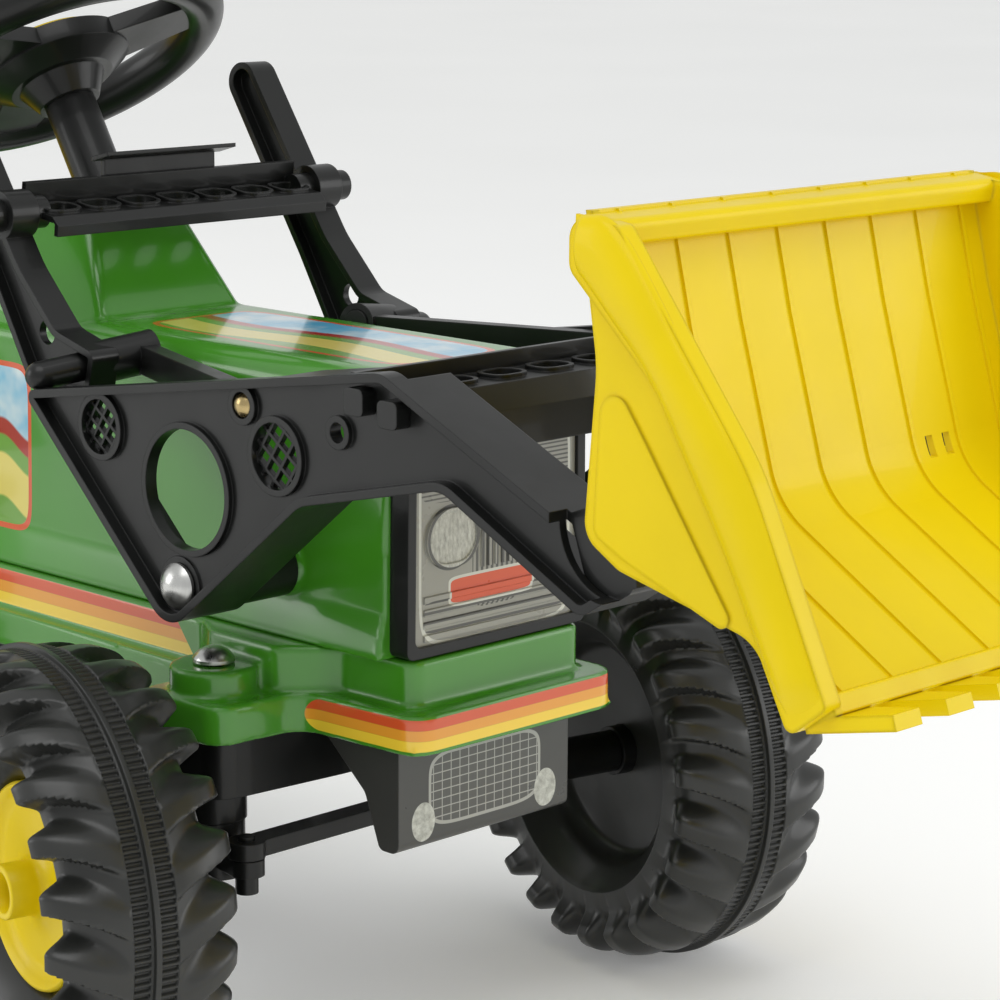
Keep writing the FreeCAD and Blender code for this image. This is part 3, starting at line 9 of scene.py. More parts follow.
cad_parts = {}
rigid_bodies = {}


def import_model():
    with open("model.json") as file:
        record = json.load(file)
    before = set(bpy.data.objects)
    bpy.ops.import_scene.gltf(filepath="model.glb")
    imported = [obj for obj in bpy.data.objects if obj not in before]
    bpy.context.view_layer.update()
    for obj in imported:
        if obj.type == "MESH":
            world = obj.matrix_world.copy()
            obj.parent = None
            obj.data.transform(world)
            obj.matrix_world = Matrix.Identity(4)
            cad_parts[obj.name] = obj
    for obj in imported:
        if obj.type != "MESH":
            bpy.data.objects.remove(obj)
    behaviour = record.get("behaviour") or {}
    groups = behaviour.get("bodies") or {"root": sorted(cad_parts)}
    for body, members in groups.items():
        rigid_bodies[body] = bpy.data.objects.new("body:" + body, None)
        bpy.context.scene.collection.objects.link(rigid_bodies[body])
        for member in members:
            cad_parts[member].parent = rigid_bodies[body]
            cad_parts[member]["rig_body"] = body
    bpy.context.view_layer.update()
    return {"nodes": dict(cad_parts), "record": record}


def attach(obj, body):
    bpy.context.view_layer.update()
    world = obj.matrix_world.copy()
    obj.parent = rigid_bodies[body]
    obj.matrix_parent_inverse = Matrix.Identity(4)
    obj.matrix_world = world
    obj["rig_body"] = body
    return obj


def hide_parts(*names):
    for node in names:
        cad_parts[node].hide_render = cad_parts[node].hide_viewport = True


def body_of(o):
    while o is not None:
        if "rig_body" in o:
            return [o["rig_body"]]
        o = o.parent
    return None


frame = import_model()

# The CAD front axle in the row frame. Places are in metres, with X from that axle, where nothing else is said
AXLE_X = 0.144565
PER_METRE = 1000
# The steering's turn at rest, and the kingpins' and wheels' places and radii
STEER_AT_REST = math.radians(-11.7)
KINGPIN_Y = 0.098
FRONT_WHEEL_Y, FRONT_RADIUS = 0.186, 0.112
REAR_AXLE_X = -0.555
REAR_WHEEL_Y, REAR_RADIUS = 0.192, 0.145
SIDES = ((-1, "right"), (1, "left"))

# Camera solved from the photograph: place in the row frame, angles, and lens in sensor widths
CAMERA_AT = Vector((1.0814 + AXLE_X, -1.0010, 0.5709))
CAMERA_AZIMUTH = 0.779844576
CAMERA_ELEVATION = 0.201916785
CAMERA_ROLL = 0.006936867
SENSOR = 36.0
CAMERA_LENS = 3.07966 * SENSOR
CLIP_START = 0.05

# Printed stripes on the skirt and along the body's side: heights, ends and the slant of the side one's end
SKIRT_STRIPE = (0.1755, 0.1905)
SKIRT_STRIPE_END = 0.037
SIDE_STRIPE = (0.1945, 0.2125)
SIDE_STRIPE_END = -0.046
SIDE_STRIPE_SLANT = 0.8

# Printed panels: middle and half size
TOP_STICKER = ((-0.034, 0.0), (0.094, 0.037))
SIDE_STICKER = ((-0.222, 0.276), (0.034, 0.044))
GRILLE_PRINT = ((0.0, 0.270), (0.050, 0.051))
GRILLE_LAMP = ((0.029, 0.269), (0.0150, 0.0140))
GRILLE_BADGE = ((-0.003, 0.243), (0.028, 0.0072))
WEIGHT_PRINT = ((0.0, 0.147), (0.036, 0.017))
WEIGHT_LAMP = ((0.041, 0.133), (0.0075, 0.0095))
# Heights between which the bonnet's top lies, how far out its sides are, and where the nose plate's face begins
BONNET_TOP = (0.340, 0.3475)
BONNET_SIDE = 0.0565
NOSE_FACE = 0.0825
# Dark lines on the grille, each with its field, pitch and share: upright slots, lower bars and fine upper lines
GRILLE_SLOTS = (((0.0, 0.276), (0.0155, 0.043)), 0.0033, 0.5)
GRILLE_BARS = (((0.0, 0.233), (0.047, 0.008)), 0.0046, 0.3)
GRILLE_LINES = (((0.0, 0.303), (0.049, 0.017)), 0.0021, 0.4)
# The nose plate's mesh: pitch and share of its lines, across and up
MESH_ACROSS, MESH_UP = (0.0058, 0.09), (0.0043, 0.12)
# Widths of printed edges, and the powers that make a patch an oval, a panel with soft corners or a squarer one
PRINT_EDGE, BADGE_EDGE, STICKER_EDGE = 0.0016, 0.0014, 0.0028
OVAL, SOFT_PANEL, PANEL = 2.0, 5.0, 8.0
# Softness of a print's edge in metres and of a patch's as a share, and how sharply repeated lines end
PRINT_SOFT, PATCH_SOFT = 0.0003, 0.03
LINE_SHARPNESS = 20.0

# Tyres, in millimetres: opening and number of lugs, the lugs' height and slant, half the tread's width, and how
# far the outer shoulder drops from the foot of the lugs
FRONT_OPENING, FRONT_LUGS = 59.0, 24
REAR_OPENING, REAR_LUGS = 80.0, 26
LUG_HEIGHT = 13.0
LUG_SLANT = math.tan(math.radians(24))
HALF_WIDTH = 48.0
SHOULDER_DROP = 13.0
# Web and hub in millimetres, how far the rim's edge is inside the opening, and the steps round it
WEB_OUT, WEB_IN = -8.0, -13.0
HUB_RADIUS, HUB_BORE, HUB_SOCKET = 13.0, 6.0, 9.5
RIM_INSET = 11.0
RIM_STEPS = 144
# A lug's steep and gentle sides as shares of the pitch, where it ends across the tread, and the pitch's start
LUG_RISE, LUG_FALL = (-0.26, -0.15), (0.14, 0.5)
LUG_END = (0.84, 1.0)
PITCH_START = -0.3
# Points across each half of the tread
TREAD_STEPS = 20
# Fine band round the middle of each tyre: teeth, steps for each tooth, half width and depths
BAND_TEETH = 184
TOOTH_STEPS = 4
BAND_HALF = 11.0
BAND_DROP, TOOTH_DEPTH = 2.5, 1.5
# Points across half the band: reach, and 1 where the teeth or the middle ridge are
BAND_POINTS = ((10.7, 0, 0), (10.3, 1, 0), (6.5, 1, 0), (2.9, 1, 0), (2.5, 0, 0), (1.7, 0, 0), (1.3, 0, 1))
# How far behind a wheel's middle, in metres, the rim's hub turns black
RIM_BACK = 0.0085

# Shells whose edges are rounded: the grid they are cut into, how strongly and how often they are smoothed, and
# the share of faces kept
ROUNDED_SHELLS = ("base_body", "bonnet")
SHELL_GRID, SHELL_SOFTNESS, SHELL_PASSES, SHELL_SHARE = 0.0015, 0.5, 4, 0.12

# Radii that moulded edges seem to have, and the samples that show them
SMALL_EDGE, BODY_EDGE, BUCKET_EDGE, RIB_EDGE = 0.0010, 0.0026, 0.0032, 0.0004
BEVEL_SAMPLES = 4
# How far out the bucket's sides begin
BUCKET_SIDE = 0.1205
# Rolled flange along each side edge of the bucket, in millimetres: its front and back line, and how far out
# its foot, its roll above that and its hidden underside are
FLANGE_FRONT = ((261, 440), (283, 436), (318, 392.5), (351, 349.5), (372, 307), (390.5, 267))
FLANGE_BACK = ((260, 421), (279, 402), (303, 378), (324, 345), (341, 318), (374, 256))
FLANGE_FOOT, FLANGE_ROLL, FLANGE_SUNK = 130.5, 5.5, 128.5
# Points along and across a flange, and the share of its length over which each end rises
FLANGE_STEPS, FLANGE_ACROSS = 90, 18
FLANGE_END = 0.05
# Angles over which an edge is drawn sharp, on CAD nodes and on the pieces made here
SHARP_ANGLE = math.radians(32)
PIECE_SHARP = math.radians(48)

# Paper floor: size, how far it lies below the wheels, and its glow, as a high-key studio sweep has
FLOOR_SIZE, FLOOR_DROP = 30, 0.0005
FLOOR_GLOW = 0.14
# Even room light, and soft studio lights: place in the row frame, width and height, and power
ROOM_COLOUR, ROOM_STRENGTH = (0.95, 0.96, 0.96, 1), 0.72
LIGHT_TARGET = (0.1, 0, 0.2)
STUDIO_LIGHTS = {
    "key": ((0.9, -0.9, 3.0), (2.4, 2.0), 30),
    "front": ((2.3, 2.0, 1.0), (1.6, 1.4), 18),
    "side": ((-1.9, -2.2, 1.1), (1.4, 1.4), 16),
}
# Usual range of a noise
NOISE_LOW, NOISE_HIGH = 0.3, 0.7

scene = bpy.context.scene


# Small helpers for node graphs

class Graph:
    """A material's node tree with short calls for the nodes used here."""

    def __init__(self, name):
        self.material = bpy.data.materials.new(name)
        self.material.use_nodes = True
        self.tree = self.material.node_tree
        self.tree.nodes.clear()
        out = self.tree.nodes.new("ShaderNodeOutputMaterial")
        self.shader = self.tree.nodes.new("ShaderNodeBsdfPrincipled")
        self.link(self.shader.outputs[0], out.inputs[0])
        self.coords = self.tree.nodes.new("ShaderNodeTexCoord").outputs["Object"]
        self.split = None
        self.base = None
        self.radius = None

    def link(self, a, b):
        self.tree.links.new(a, b)

    def feed(self, socket, value):
        """Links another socket, or sets a plain value."""
        if isinstance(value, bpy.types.NodeSocket):
            self.link(value, socket)
        else:
            socket.default_value = value

    def separate(self, vector):
        node = self.tree.nodes.new("ShaderNodeSeparateXYZ")
        self.link(vector, node.inputs[0])
        return node.outputs

    def axis(self, i):
        """One coordinate: 0 is X from the front axle, 1 is Y and 2 is Z."""
        if self.split is None:
            row = self.separate(self.coords)
            self.split = (self.maths("SUBTRACT", row[0], AXLE_X), row[1], row[2])
        return self.split[i]

    def maths(self, op, a, b=0.0, c=0.0, clamp=False):
        node = self.tree.nodes.new("ShaderNodeMath")
        node.operation = op
        node.use_clamp = clamp
        self.feed(node.inputs[0], a)
        self.feed(node.inputs[1], b)
        self.feed(node.inputs[2], c)
        return node.outputs[0]

    def noise(self, scale, detail=3.0, roughness=0.55, stretch=None):
        node = self.tree.nodes.new("ShaderNodeTexNoise")
        node.inputs["Scale"].default_value = scale
        node.inputs["Detail"].default_value = detail
        node.inputs["Roughness"].default_value = roughness
        coords = self.coords
        if stretch is not None:
            mapping = self.tree.nodes.new("ShaderNodeMapping")
            mapping.inputs["Scale"].default_value = stretch
            self.link(coords, mapping.inputs[0])
            coords = mapping.outputs[0]
        self.link(coords, node.inputs["Vector"])
        return node.outputs["Fac"]

    def spread(self, value, low, high):
        """Stretches a noise's usual range to low..high."""
        node = self.tree.nodes.new("ShaderNodeMapRange")
        node.inputs["From Min"].default_value = NOISE_LOW
        node.inputs["From Max"].default_value = NOISE_HIGH
        node.inputs["To Min"].default_value = low
        node.inputs["To Max"].default_value = high
        self.link(value, node.inputs["Value"])
        return node.outputs[0]

    def mix(self, factor, a, b):
        node = self.tree.nodes.new("ShaderNodeMix")
        node.data_type = "RGBA"
        self.feed(node.inputs[0], factor)
        self.feed(node.inputs[6], a)
        self.feed(node.inputs[7], b)
        return node.outputs[2]

    def above(self, value, low):
        """1 where value is over low, with a soft edge."""
        return self.maths("MULTIPLY_ADD", value, 1 / PRINT_SOFT, 0.5 - low / PRINT_SOFT, clamp=True)

    def between(self, value, low, high):
        """1 where value is over low and under high, with soft edges."""
        below = self.maths("MULTIPLY_ADD", value, -1 / PRINT_SOFT, 0.5 + high / PRINT_SOFT, clamp=True)
        return self.maths("MULTIPLY", self.above(value, low), below)

    def both(self, *masks):
        """1 where all the masks are."""
        total = masks[0]
        for mask in masks[1:]:
            total = self.maths("MULTIPLY", total, mask)
        return total

    def patch(self, u, v, shape, power=PANEL, grow=0.0):
        """1 inside a rounded patch given by its middle and half size."""
        (u_mid, v_mid), (u_half, v_half) = shape
        across = self.maths("MULTIPLY_ADD", u, 1 / (u_half + grow), -u_mid / (u_half + grow))
        up = self.maths("MULTIPLY_ADD", v, 1 / (v_half + grow), -v_mid / (v_half + grow))
        reach = self.maths("ADD", self.maths("POWER", self.maths("ABSOLUTE", across), power),
                           self.maths("POWER", self.maths("ABSOLUTE", up), power))
        return self.maths("MULTIPLY_ADD", reach, -1 / PATCH_SOFT, 0.5 + 1 / PATCH_SOFT, clamp=True)

    def stripes(self, value, pitch, share):
        """1 over a share of each pitch along value."""
        part = self.maths("FRACT", self.maths("MULTIPLY", value, 1 / pitch))
        return self.maths("MULTIPLY_ADD", part, -LINE_SHARPNESS, LINE_SHARPNESS * share + 0.5, clamp=True)

    def skin(self, height, strength, distance, edge):
        """A bumped skin over edges that look slightly rounded."""
        bevel = self.tree.nodes.new("ShaderNodeBevel")
        bevel.samples = BEVEL_SAMPLES
        self.radius = bevel.inputs["Radius"]
        self.radius.default_value = edge
        bump = self.tree.nodes.new("ShaderNodeBump")
        bump.inputs["Strength"].default_value = strength
        bump.inputs["Distance"].default_value = distance
        self.link(height, bump.inputs["Height"])
        self.link(bevel.outputs[0], bump.inputs["Normal"])
        self.link(bump.outputs[0], self.shader.inputs["Normal"])

    def paint(self, mask, colour):
        """Lays a printed colour over the base where mask is 1."""
        self.base = self.mix(mask, self.base, colour)
        self.link(self.base, self.shader.inputs["Base Color"])


def rgb(r, g, b):
    """An sRGB colour, 0 to 255, as linear RGBA."""
    def linear(c):
        c /= 255
        return c / 12.92 if c <= 0.04045 else ((c + 0.055) / 1.055) ** 2.4
    return (linear(r), linear(g), linear(b), 1.0)


def shaded(colour, factor):
    """A colour made darker or lighter by a factor."""
    return tuple(min(1.0, c * factor) for c in colour[:3]) + (1.0,)


# Materials

GREEN = rgb(66, 140, 32)
BLACK = rgb(17, 18, 17)
CHARCOAL = rgb(38, 39, 37)
BUCKET_YELLOW = rgb(230, 202, 4)
RED, ORANGE, STRIPE_YELLOW = rgb(214, 86, 44), rgb(232, 158, 50), rgb(244, 208, 60)
SKY, CLOUD = rgb(96, 178, 214), rgb(226, 232, 228)
FIELD, MEADOW, BARN = rgb(222, 206, 104), rgb(112, 160, 62), rgb(168, 44, 40)
SILVER, PALE, SLATE = rgb(150, 150, 142), rgb(206, 208, 200), rgb(82, 82, 78)
MESH_GREY, NOSE_GREY = rgb(166, 166, 160), rgb(66, 66, 63)
STEEL, BRASS = (0.62, 0.62, 0.6, 1.0), (0.55, 0.42, 0.2, 1.0)
PAPER, BRIGHT_PAPER, PAPER_GLOW = (0.92, 0.92, 0.91, 1), (0.95, 0.95, 0.94, 1), (1.0, 1.0, 0.99, 1.0)

# Noise scales of moulded plastic: clouding of its colour, of its gloss, and its skin with that skin's depth
CLOUD_SCALE, GLOSS_SCALE, SKIN_SCALE, SKIN_DEPTH = 9.0, 26.0, 420.0, 0.0004
COAT_ROUGHNESS = 0.06
# Least and greatest roughness, as shares of the usual one, on plastic and on metal
PLASTIC_ROUGH, METAL_ROUGH = (0.82, 1.22), (0.7, 1.4)
# Noise scales of metal, its streaks' darkness and length, and noise scales of printed lamps and of paper
STREAK_SCALE, METAL_SCALE = 60.0, 90.0
STREAK_SHADE, STREAK_STRETCH = 0.8, (1.0, 6.0, 1.0)
LAMP_SCALE, SMALL_LAMP_SCALE, LAMP_STRETCH = 240.0, 300.0, (1.0, 2.5, 1.0)
PAPER_SCALE, PAPER_ROUGH, PAPER_GLOSS = 1.2, 0.8, 0.1
# Settings that several plastics share
GREEN_FINISH = {"colour": GREEN, "rough": 0.2, "coat": 0.5, "edge": BODY_EDGE}
YELLOW_FINISH = {"colour": BUCKET_YELLOW, "rough": 0.34, "coat": 0.07, "shade": 0.05, "gloss": 0.16}
GREY_FINISH = {"colour": SILVER, "rough": 0.3, "coat": 0.2}
# Printed landscape: heights and colours of its bands from the back, its hills, and how its clouds are spread
LANDSCAPE = ((0.22, BARN), (0.02, MEADOW), (-0.2, FIELD), (-0.72, MEADOW))
HILL_WAVES, HILL_SHIFT, HILL_HEIGHT, HILL_SHARPNESS = 4.0, 0.6, 0.12, 30.0
SKY_SCALE, CLOUD_LEAST = 30.0, -0.4


def plastic(name, colour, rough, coat=0.0, grain=0.02, shade=0.1, edge=SMALL_EDGE, gloss=0.5):
    """Moulded plastic: slight clouding in colour and gloss, and a fine skin."""
    g = Graph(name)
    cloud = g.noise(CLOUD_SCALE, detail=4.0)
    g.base = g.mix(g.spread(cloud, 0.0, 1.0), shaded(colour, 1 - shade), shaded(colour, 1 + shade))
    g.link(g.base, g.shader.inputs["Base Color"])
    low, high = PLASTIC_ROUGH
    roughness = g.spread(g.noise(GLOSS_SCALE, detail=5.0), rough * low, rough * high)
    g.link(roughness, g.shader.inputs["Roughness"])
    g.shader.inputs["Specular IOR Level"].default_value = gloss
    g.shader.inputs["Coat Weight"].default_value = coat
    g.shader.inputs["Coat Roughness"].default_value = COAT_ROUGHNESS
    g.skin(g.noise(SKIN_SCALE, detail=2.0), grain, SKIN_DEPTH, edge)
    return g


def metal(name, colour, rough):
    """Plated metal with faint streaks."""
    g = Graph(name)
    streak = g.spread(g.noise(STREAK_SCALE, detail=4.0, roughness=0.6, stretch=STREAK_STRETCH), 0.0, 1.0)
    g.link(g.mix(streak, shaded(colour, STREAK_SHADE), colour), g.shader.inputs["Base Color"])
    g.shader.inputs["Metallic"].default_value = 1.0
    low, high = METAL_ROUGH
    g.link(g.spread(g.noise(METAL_SCALE), rough * low, rough * high), g.shader.inputs["Roughness"])
    return g


def three_stripes(g, inside, low, high):
    """Red over orange over yellow between two heights, where inside is 1."""
    z = g.axis(2)
    step = (high - low) / 3
    for i, colour in enumerate((STRIPE_YELLOW, ORANGE, RED)):
        band = g.between(z, low + i * step, low + (i + 1) * step)
        g.paint(g.both(inside, band), colour)


def striped_green():
    """Body base: a round-ended stripe round the skirt's front and a slant-ended one along each side."""
    g = plastic("base_green", **GREEN_FINISH)
    x, z = g.axis(0), g.axis(2)
    low, high = SKIRT_STRIPE
    half = (high - low) / 2
    lift = g.maths("MULTIPLY_ADD", z, 1 / half, -(low + high) / 2 / half)
    cap = g.maths("SQRT", g.maths("SUBTRACT", 1.0, g.maths("MULTIPLY", lift, lift), clamp=True))
    reach = g.maths("MULTIPLY_ADD", cap, half, -half)
    three_stripes(g, g.above(g.maths("ADD", x, reach), SKIRT_STRIPE_END), low, high)
    low, high = SIDE_STRIPE
    slant = g.maths("MULTIPLY_ADD", z, SIDE_STRIPE_SLANT, -SIDE_STRIPE_SLANT * low)
    ahead = g.maths("SUBTRACT", SIDE_STRIPE_END, g.maths("ADD", x, slant))
    three_stripes(g, g.above(ahead, 0.0), low, high)
    return g


def farm_print(g, u, v, shape, where):
    """A plain landscape in a red border: sky and cloud, rolling fields and a far red roof line."""
    (u_mid, v_mid), (u_half, v_half) = shape
    inside = g.both(where, g.patch(u, v, shape))
    picture = g.both(where, g.patch(u, v, shape, grow=-STICKER_EDGE))
    across = g.maths("MULTIPLY_ADD", u, 1 / u_half, -u_mid / u_half)
    up = g.maths("MULTIPLY_ADD", v, 1 / v_half, -v_mid / v_half)
    g.paint(inside, RED)
    sky = g.mix(g.spread(g.noise(SKY_SCALE, detail=3.0), CLOUD_LEAST, 1.0), SKY, CLOUD)
    g.paint(picture, sky)
    wave = g.maths("SINE", g.maths("MULTIPLY_ADD", across, HILL_WAVES, HILL_SHIFT))
    height = g.maths("SUBTRACT", up, g.maths("MULTIPLY", wave, HILL_HEIGHT))
    for level, colour in LANDSCAPE:
        below = g.maths("MULTIPLY_ADD", height, -HILL_SHARPNESS, HILL_SHARPNESS * level, clamp=True)
        g.paint(g.both(picture, below), colour)


def bonnet_green():
    """Bonnet with a printed panel on its top and one on each side."""
    g = plastic("bonnet_green", **GREEN_FINISH)
    x, y, z = g.axis(0), g.axis(1), g.axis(2)
    farm_print(g, x, y, TOP_STICKER, g.between(z, *BONNET_TOP))
    farm_print(g, x, z, SIDE_STICKER, g.above(g.maths("ABSOLUTE", y), BONNET_SIDE))
    return g


def lamp_print(g, y, z, shape):
    """A pale printed lamp with a ring and a glass pattern, on both sides of the middle."""
    out = g.maths("ABSOLUTE", y)
    g.paint(g.patch(out, z, shape, OVAL, grow=PRINT_EDGE), SLATE)
    ripple = g.noise(LAMP_SCALE, detail=3.0, roughness=0.7, stretch=LAMP_STRETCH)
    glass = g.mix(g.spread(ripple, 0.0, 1.0), SILVER, PALE)
    g.paint(g.patch(out, z, shape, OVAL), glass)


def grille_grey():
    """Grille panel: dark upright slots between two printed lamps, pale bars and a plain red badge."""
    g = plastic("grille_grey", **GREY_FINISH)
    y, z = g.axis(1), g.axis(2)
    for way, (field, pitch, share) in ((y, GRILLE_SLOTS), (z, GRILLE_BARS), (z, GRILLE_LINES)):
        g.paint(g.both(g.stripes(way, pitch, share), g.patch(y, z, field)), SLATE)
    within = g.patch(y, z, GRILLE_PRINT, grow=-PRINT_EDGE)
    g.paint(g.both(g.patch(y, z, GRILLE_PRINT), g.maths("SUBTRACT", 1.0, within)), PALE)
    lamp_print(g, y, z, GRILLE_LAMP)
    g.paint(g.patch(y, z, GRILLE_BADGE), PALE)
    g.paint(g.patch(y, z, GRILLE_BADGE, grow=-BADGE_EDGE), RED)
    return g


def weight_grey():
    """Nose plate: a printed mesh between two small lamps."""
    g = plastic("weight_grey", NOSE_GREY, rough=0.32, coat=0.15)
    x, y, z = g.axis(0), g.axis(1), g.axis(2)
    face = g.above(x, NOSE_FACE)
    mesh = g.maths("MAXIMUM", g.stripes(y, *MESH_ACROSS), g.stripes(z, *MESH_UP))
    inside = g.patch(y, z, WEIGHT_PRINT, SOFT_PANEL)
    beyond = g.maths("SUBTRACT", 1.0, inside)
    edge = g.both(g.patch(y, z, WEIGHT_PRINT, SOFT_PANEL, grow=PRINT_EDGE), beyond)
    g.paint(g.both(face, inside), SLATE)
    g.paint(g.both(face, g.maths("MAXIMUM", g.both(mesh, inside), edge)), MESH_GREY)
    out = g.maths("ABSOLUTE", y)
    ripple = g.noise(SMALL_LAMP_SCALE, detail=3.0, roughness=0.7)
    glass = g.mix(g.spread(ripple, 0.0, 1.0), SILVER, PALE)
    g.paint(g.both(face, g.patch(out, z, WEIGHT_LAMP, OVAL)), glass)
    return g


def wheel_axes(g, centre, turn):
    """Coordinates from a wheel's own middle, with Y along its axle."""
    to_wheel = g.tree.nodes.new("ShaderNodeMapping")
    to_wheel.vector_type = "TEXTURE"
    to_wheel.inputs["Location"].default_value = centre
    to_wheel.inputs["Rotation"].default_value = (0.0, 0.0, turn)
    g.link(g.coords, to_wheel.inputs["Vector"])
    return g.separate(to_wheel.outputs[0])


def rim_yellow(name, centre, turn, side):
    """Yellow rim whose hub is black where it stands out behind the wheel."""
    g = plastic(name, BUCKET_YELLOW, rough=0.34, coat=0.1, shade=0.05, gloss=0.25)
    y = wheel_axes(g, centre, turn)[1]
    g.paint(g.above(g.maths("MULTIPLY", y, -side), RIM_BACK), BLACK)
    return g


def bucket_yellow():
    """Bucket plastic, with rounder edges on the sides than on the thin ribs between them."""
    g = plastic("bucket_yellow", **YELLOW_FINISH)
    beside = g.above(g.maths("ABSOLUTE", g.axis(1)), BUCKET_SIDE)
    g.link(g.maths("MULTIPLY_ADD", beside, BUCKET_EDGE - RIB_EDGE, RIB_EDGE), g.radius)
    return g


slots = {
    "green_plastic": plastic("green_plastic", **GREEN_FINISH),
    "black_plastic": plastic("black_plastic", BLACK, rough=0.36, coat=0.14, gloss=0.32),
    "yellow_plastic": plastic("yellow_plastic", **YELLOW_FINISH),
    "tyre_plastic": plastic("tyre_plastic", CHARCOAL, rough=0.4, coat=0.06, grain=0.05),
    "grey_plastic": plastic("grey_plastic", **GREY_FINISH),
    "steel": metal("zinc_steel", STEEL, rough=0.28),
}
special = {
    "base_body": striped_green(),
    "bucket": bucket_yellow(),
    "bonnet": bonnet_green(),
    "grille_panel": grille_grey(),
    "front_weight": weight_grey(),
    "arm_bolts": metal("brass_bolt", BRASS, rough=0.3),
}

slot_of = {row["node"]: row["material_slot"] for row in frame["record"]["subparts"]}
for name, node in frame["nodes"].items():
    look = special.get(name) or slots[slot_of[name]]
    node.data.materials.clear()
    node.data.materials.append(look.material)
    for face in node.data.polygons:
        face.use_smooth = True
    node.data.set_sharp_from_angle(angle=SHARP_ANGLE)

for name in ROUNDED_SHELLS:
    stack = frame["nodes"][name].modifiers
    fine = stack.new("fine_grid", "REMESH")
    fine.mode = "VOXEL"
    fine.voxel_size = SHELL_GRID
    fine.use_smooth_shade = True
    soft = stack.new("soft_edges", "SMOOTH")
    soft.factor = SHELL_SOFTNESS
    soft.iterations = SHELL_PASSES
    fewer = stack.new("fewer_faces", "DECIMATE")
    fewer.ratio = SHELL_SHARE


# Pieces made here: tyres, rims and the bucket's flanges

def eased(value, low, high):
    """0 below low, 1 above high and smooth between."""
    part = np.clip((value - low) / (high - low), 0.0, 1.0)
    return part * part * (3 - 2 * part)


def along(points, steps):
    """Evenly spaced points on a smooth line through the given ones."""
    knots = np.array(points, float)
    padded = np.vstack((2 * knots[0] - knots[1], knots, 2 * knots[-1] - knots[-2]))
    place = np.linspace(0, len(knots) - 1, steps)
    first = np.minimum(place.astype(int), len(knots) - 2)
    u = (place - first)[:, None]
    a, b, c, d = (padded[first + i] for i in range(4))
    return 0.5 * (2 * b + (c - a) * u + (2 * a - 5 * b + 4 * c - d) * u ** 2
                  + (3 * b - a - 3 * c + d) * u ** 3)


def new_piece(name, places, faces, look):
    """An object with a smooth mesh of its own, from points in metres."""
    mesh = bpy.data.meshes.new(name)
    mesh.from_pydata(places.tolist(), [], faces.tolist())
    mesh.polygons.foreach_set("use_smooth", np.ones(len(mesh.polygons), bool))
    mesh.set_sharp_from_angle(angle=PIECE_SHARP)
    mesh.materials.append(look.material)
    piece = bpy.data.objects.new(name, mesh)
    scene.collection.objects.link(piece)
    return piece


def tread_side(floor, top, angles, lugs, radius, shift):
    """Radius and reach over one half of the tread, from the band outwards, for each angle."""
    t = np.linspace(0, 1, TREAD_STEPS)
    low, high = along(floor, TREAD_STEPS), along(top, TREAD_STEPS)
    middle = -LUG_SLANT * (HALF_WIDTH - high[:, 1]) / radius
    phase = (angles[:, None] - middle[None, :]) * lugs / (2 * math.pi) + shift
    phase = (phase - PITCH_START) % 1.0 + PITCH_START
    lug = eased(phase, *LUG_RISE) * (1 - eased(phase, *LUG_FALL))
    lug = lug * (1 - eased(t, *LUG_END))[None, :]
    return low[None] * (1 - lug[..., None]) + high[None] * lug[..., None]


def band_rows(angles, radius):
    """The toothed band with its thin middle ridge, from the outer side to the inner."""
    outer = np.array(BAND_POINTS)
    inner = outer[::-1] * np.array([-1, 1, 1])
    across, toothed, ridge = np.concatenate((outer, inner)).T
    groove = (np.arange(len(angles)) % TOOTH_STEPS >= TOOTH_STEPS // 2) * TOOTH_DEPTH
    height = radius - BAND_DROP + ridge[None, :] * BAND_DROP - groove[:, None] * toothed[None, :]
    return np.stack((height, np.broadcast_to(across, height.shape)), axis=2)


def same_rows(section, angles):
    """The same points at each angle."""
    return np.broadcast_to(np.array(section, float), (len(angles), len(section), 2))


def tyre_rows(radius, opening, lugs, angles):
    """Closed section of a blow-moulded tyre at each angle, as radius and reach towards the outer side."""
    crown, edge = radius - LUG_HEIGHT, opening - RIM_INSET
    rise = crown - SHOULDER_DROP - edge
    outer_side = [(HUB_RADIUS, WEB_OUT), (edge - 2, WEB_OUT), (edge + 1.5, -5), (edge + 1.5, 4),
                  (edge + 4, 8), (edge + 0.35 * rise, 16), (edge + 0.7 * rise, 26), (edge + 0.9 * rise, 31)]
    outer_floor = [(crown + 10, BAND_HALF), (crown + 7.5, 16), (crown + 2, 24), (crown - 6, 31.5),
                   (crown - SHOULDER_DROP, 33)]
    outer_top = [(radius - 2, BAND_HALF), (radius - 2.2, 18), (radius - 4, 29), (radius - 9, 40),
                 (radius - 16, 46), (radius - 22, 45)]
    inner_floor = [(crown + 10, BAND_HALF), (crown + 7.5, 16), (crown + 2, 25), (crown - 7, 36),
                   (crown - 18, 40)]
    inner_top = [(radius - 2, BAND_HALF), (radius - 2.2, 18), (radius - 4, 29), (radius - 9, 41),
                 (radius - 16, 47), (radius - 26, 46)]
    inner_side = [(crown - 26, -40.5), (opening + 12, -38), (opening + 3, -31), (opening, -24),
                  (opening - 2, -16), (opening - 6, WEB_IN), (HUB_RADIUS, WEB_IN)]
    outer_tread = tread_side(outer_floor, outer_top, angles, lugs, radius, 0.0)[:, ::-1]
    inner_tread = tread_side(inner_floor, inner_top, angles, lugs, radius, 0.5) * np.array([1.0, -1.0])
    return np.concatenate((same_rows(outer_side, angles), outer_tread, band_rows(angles, radius),
                           inner_tread, same_rows(inner_side, angles)), axis=1)


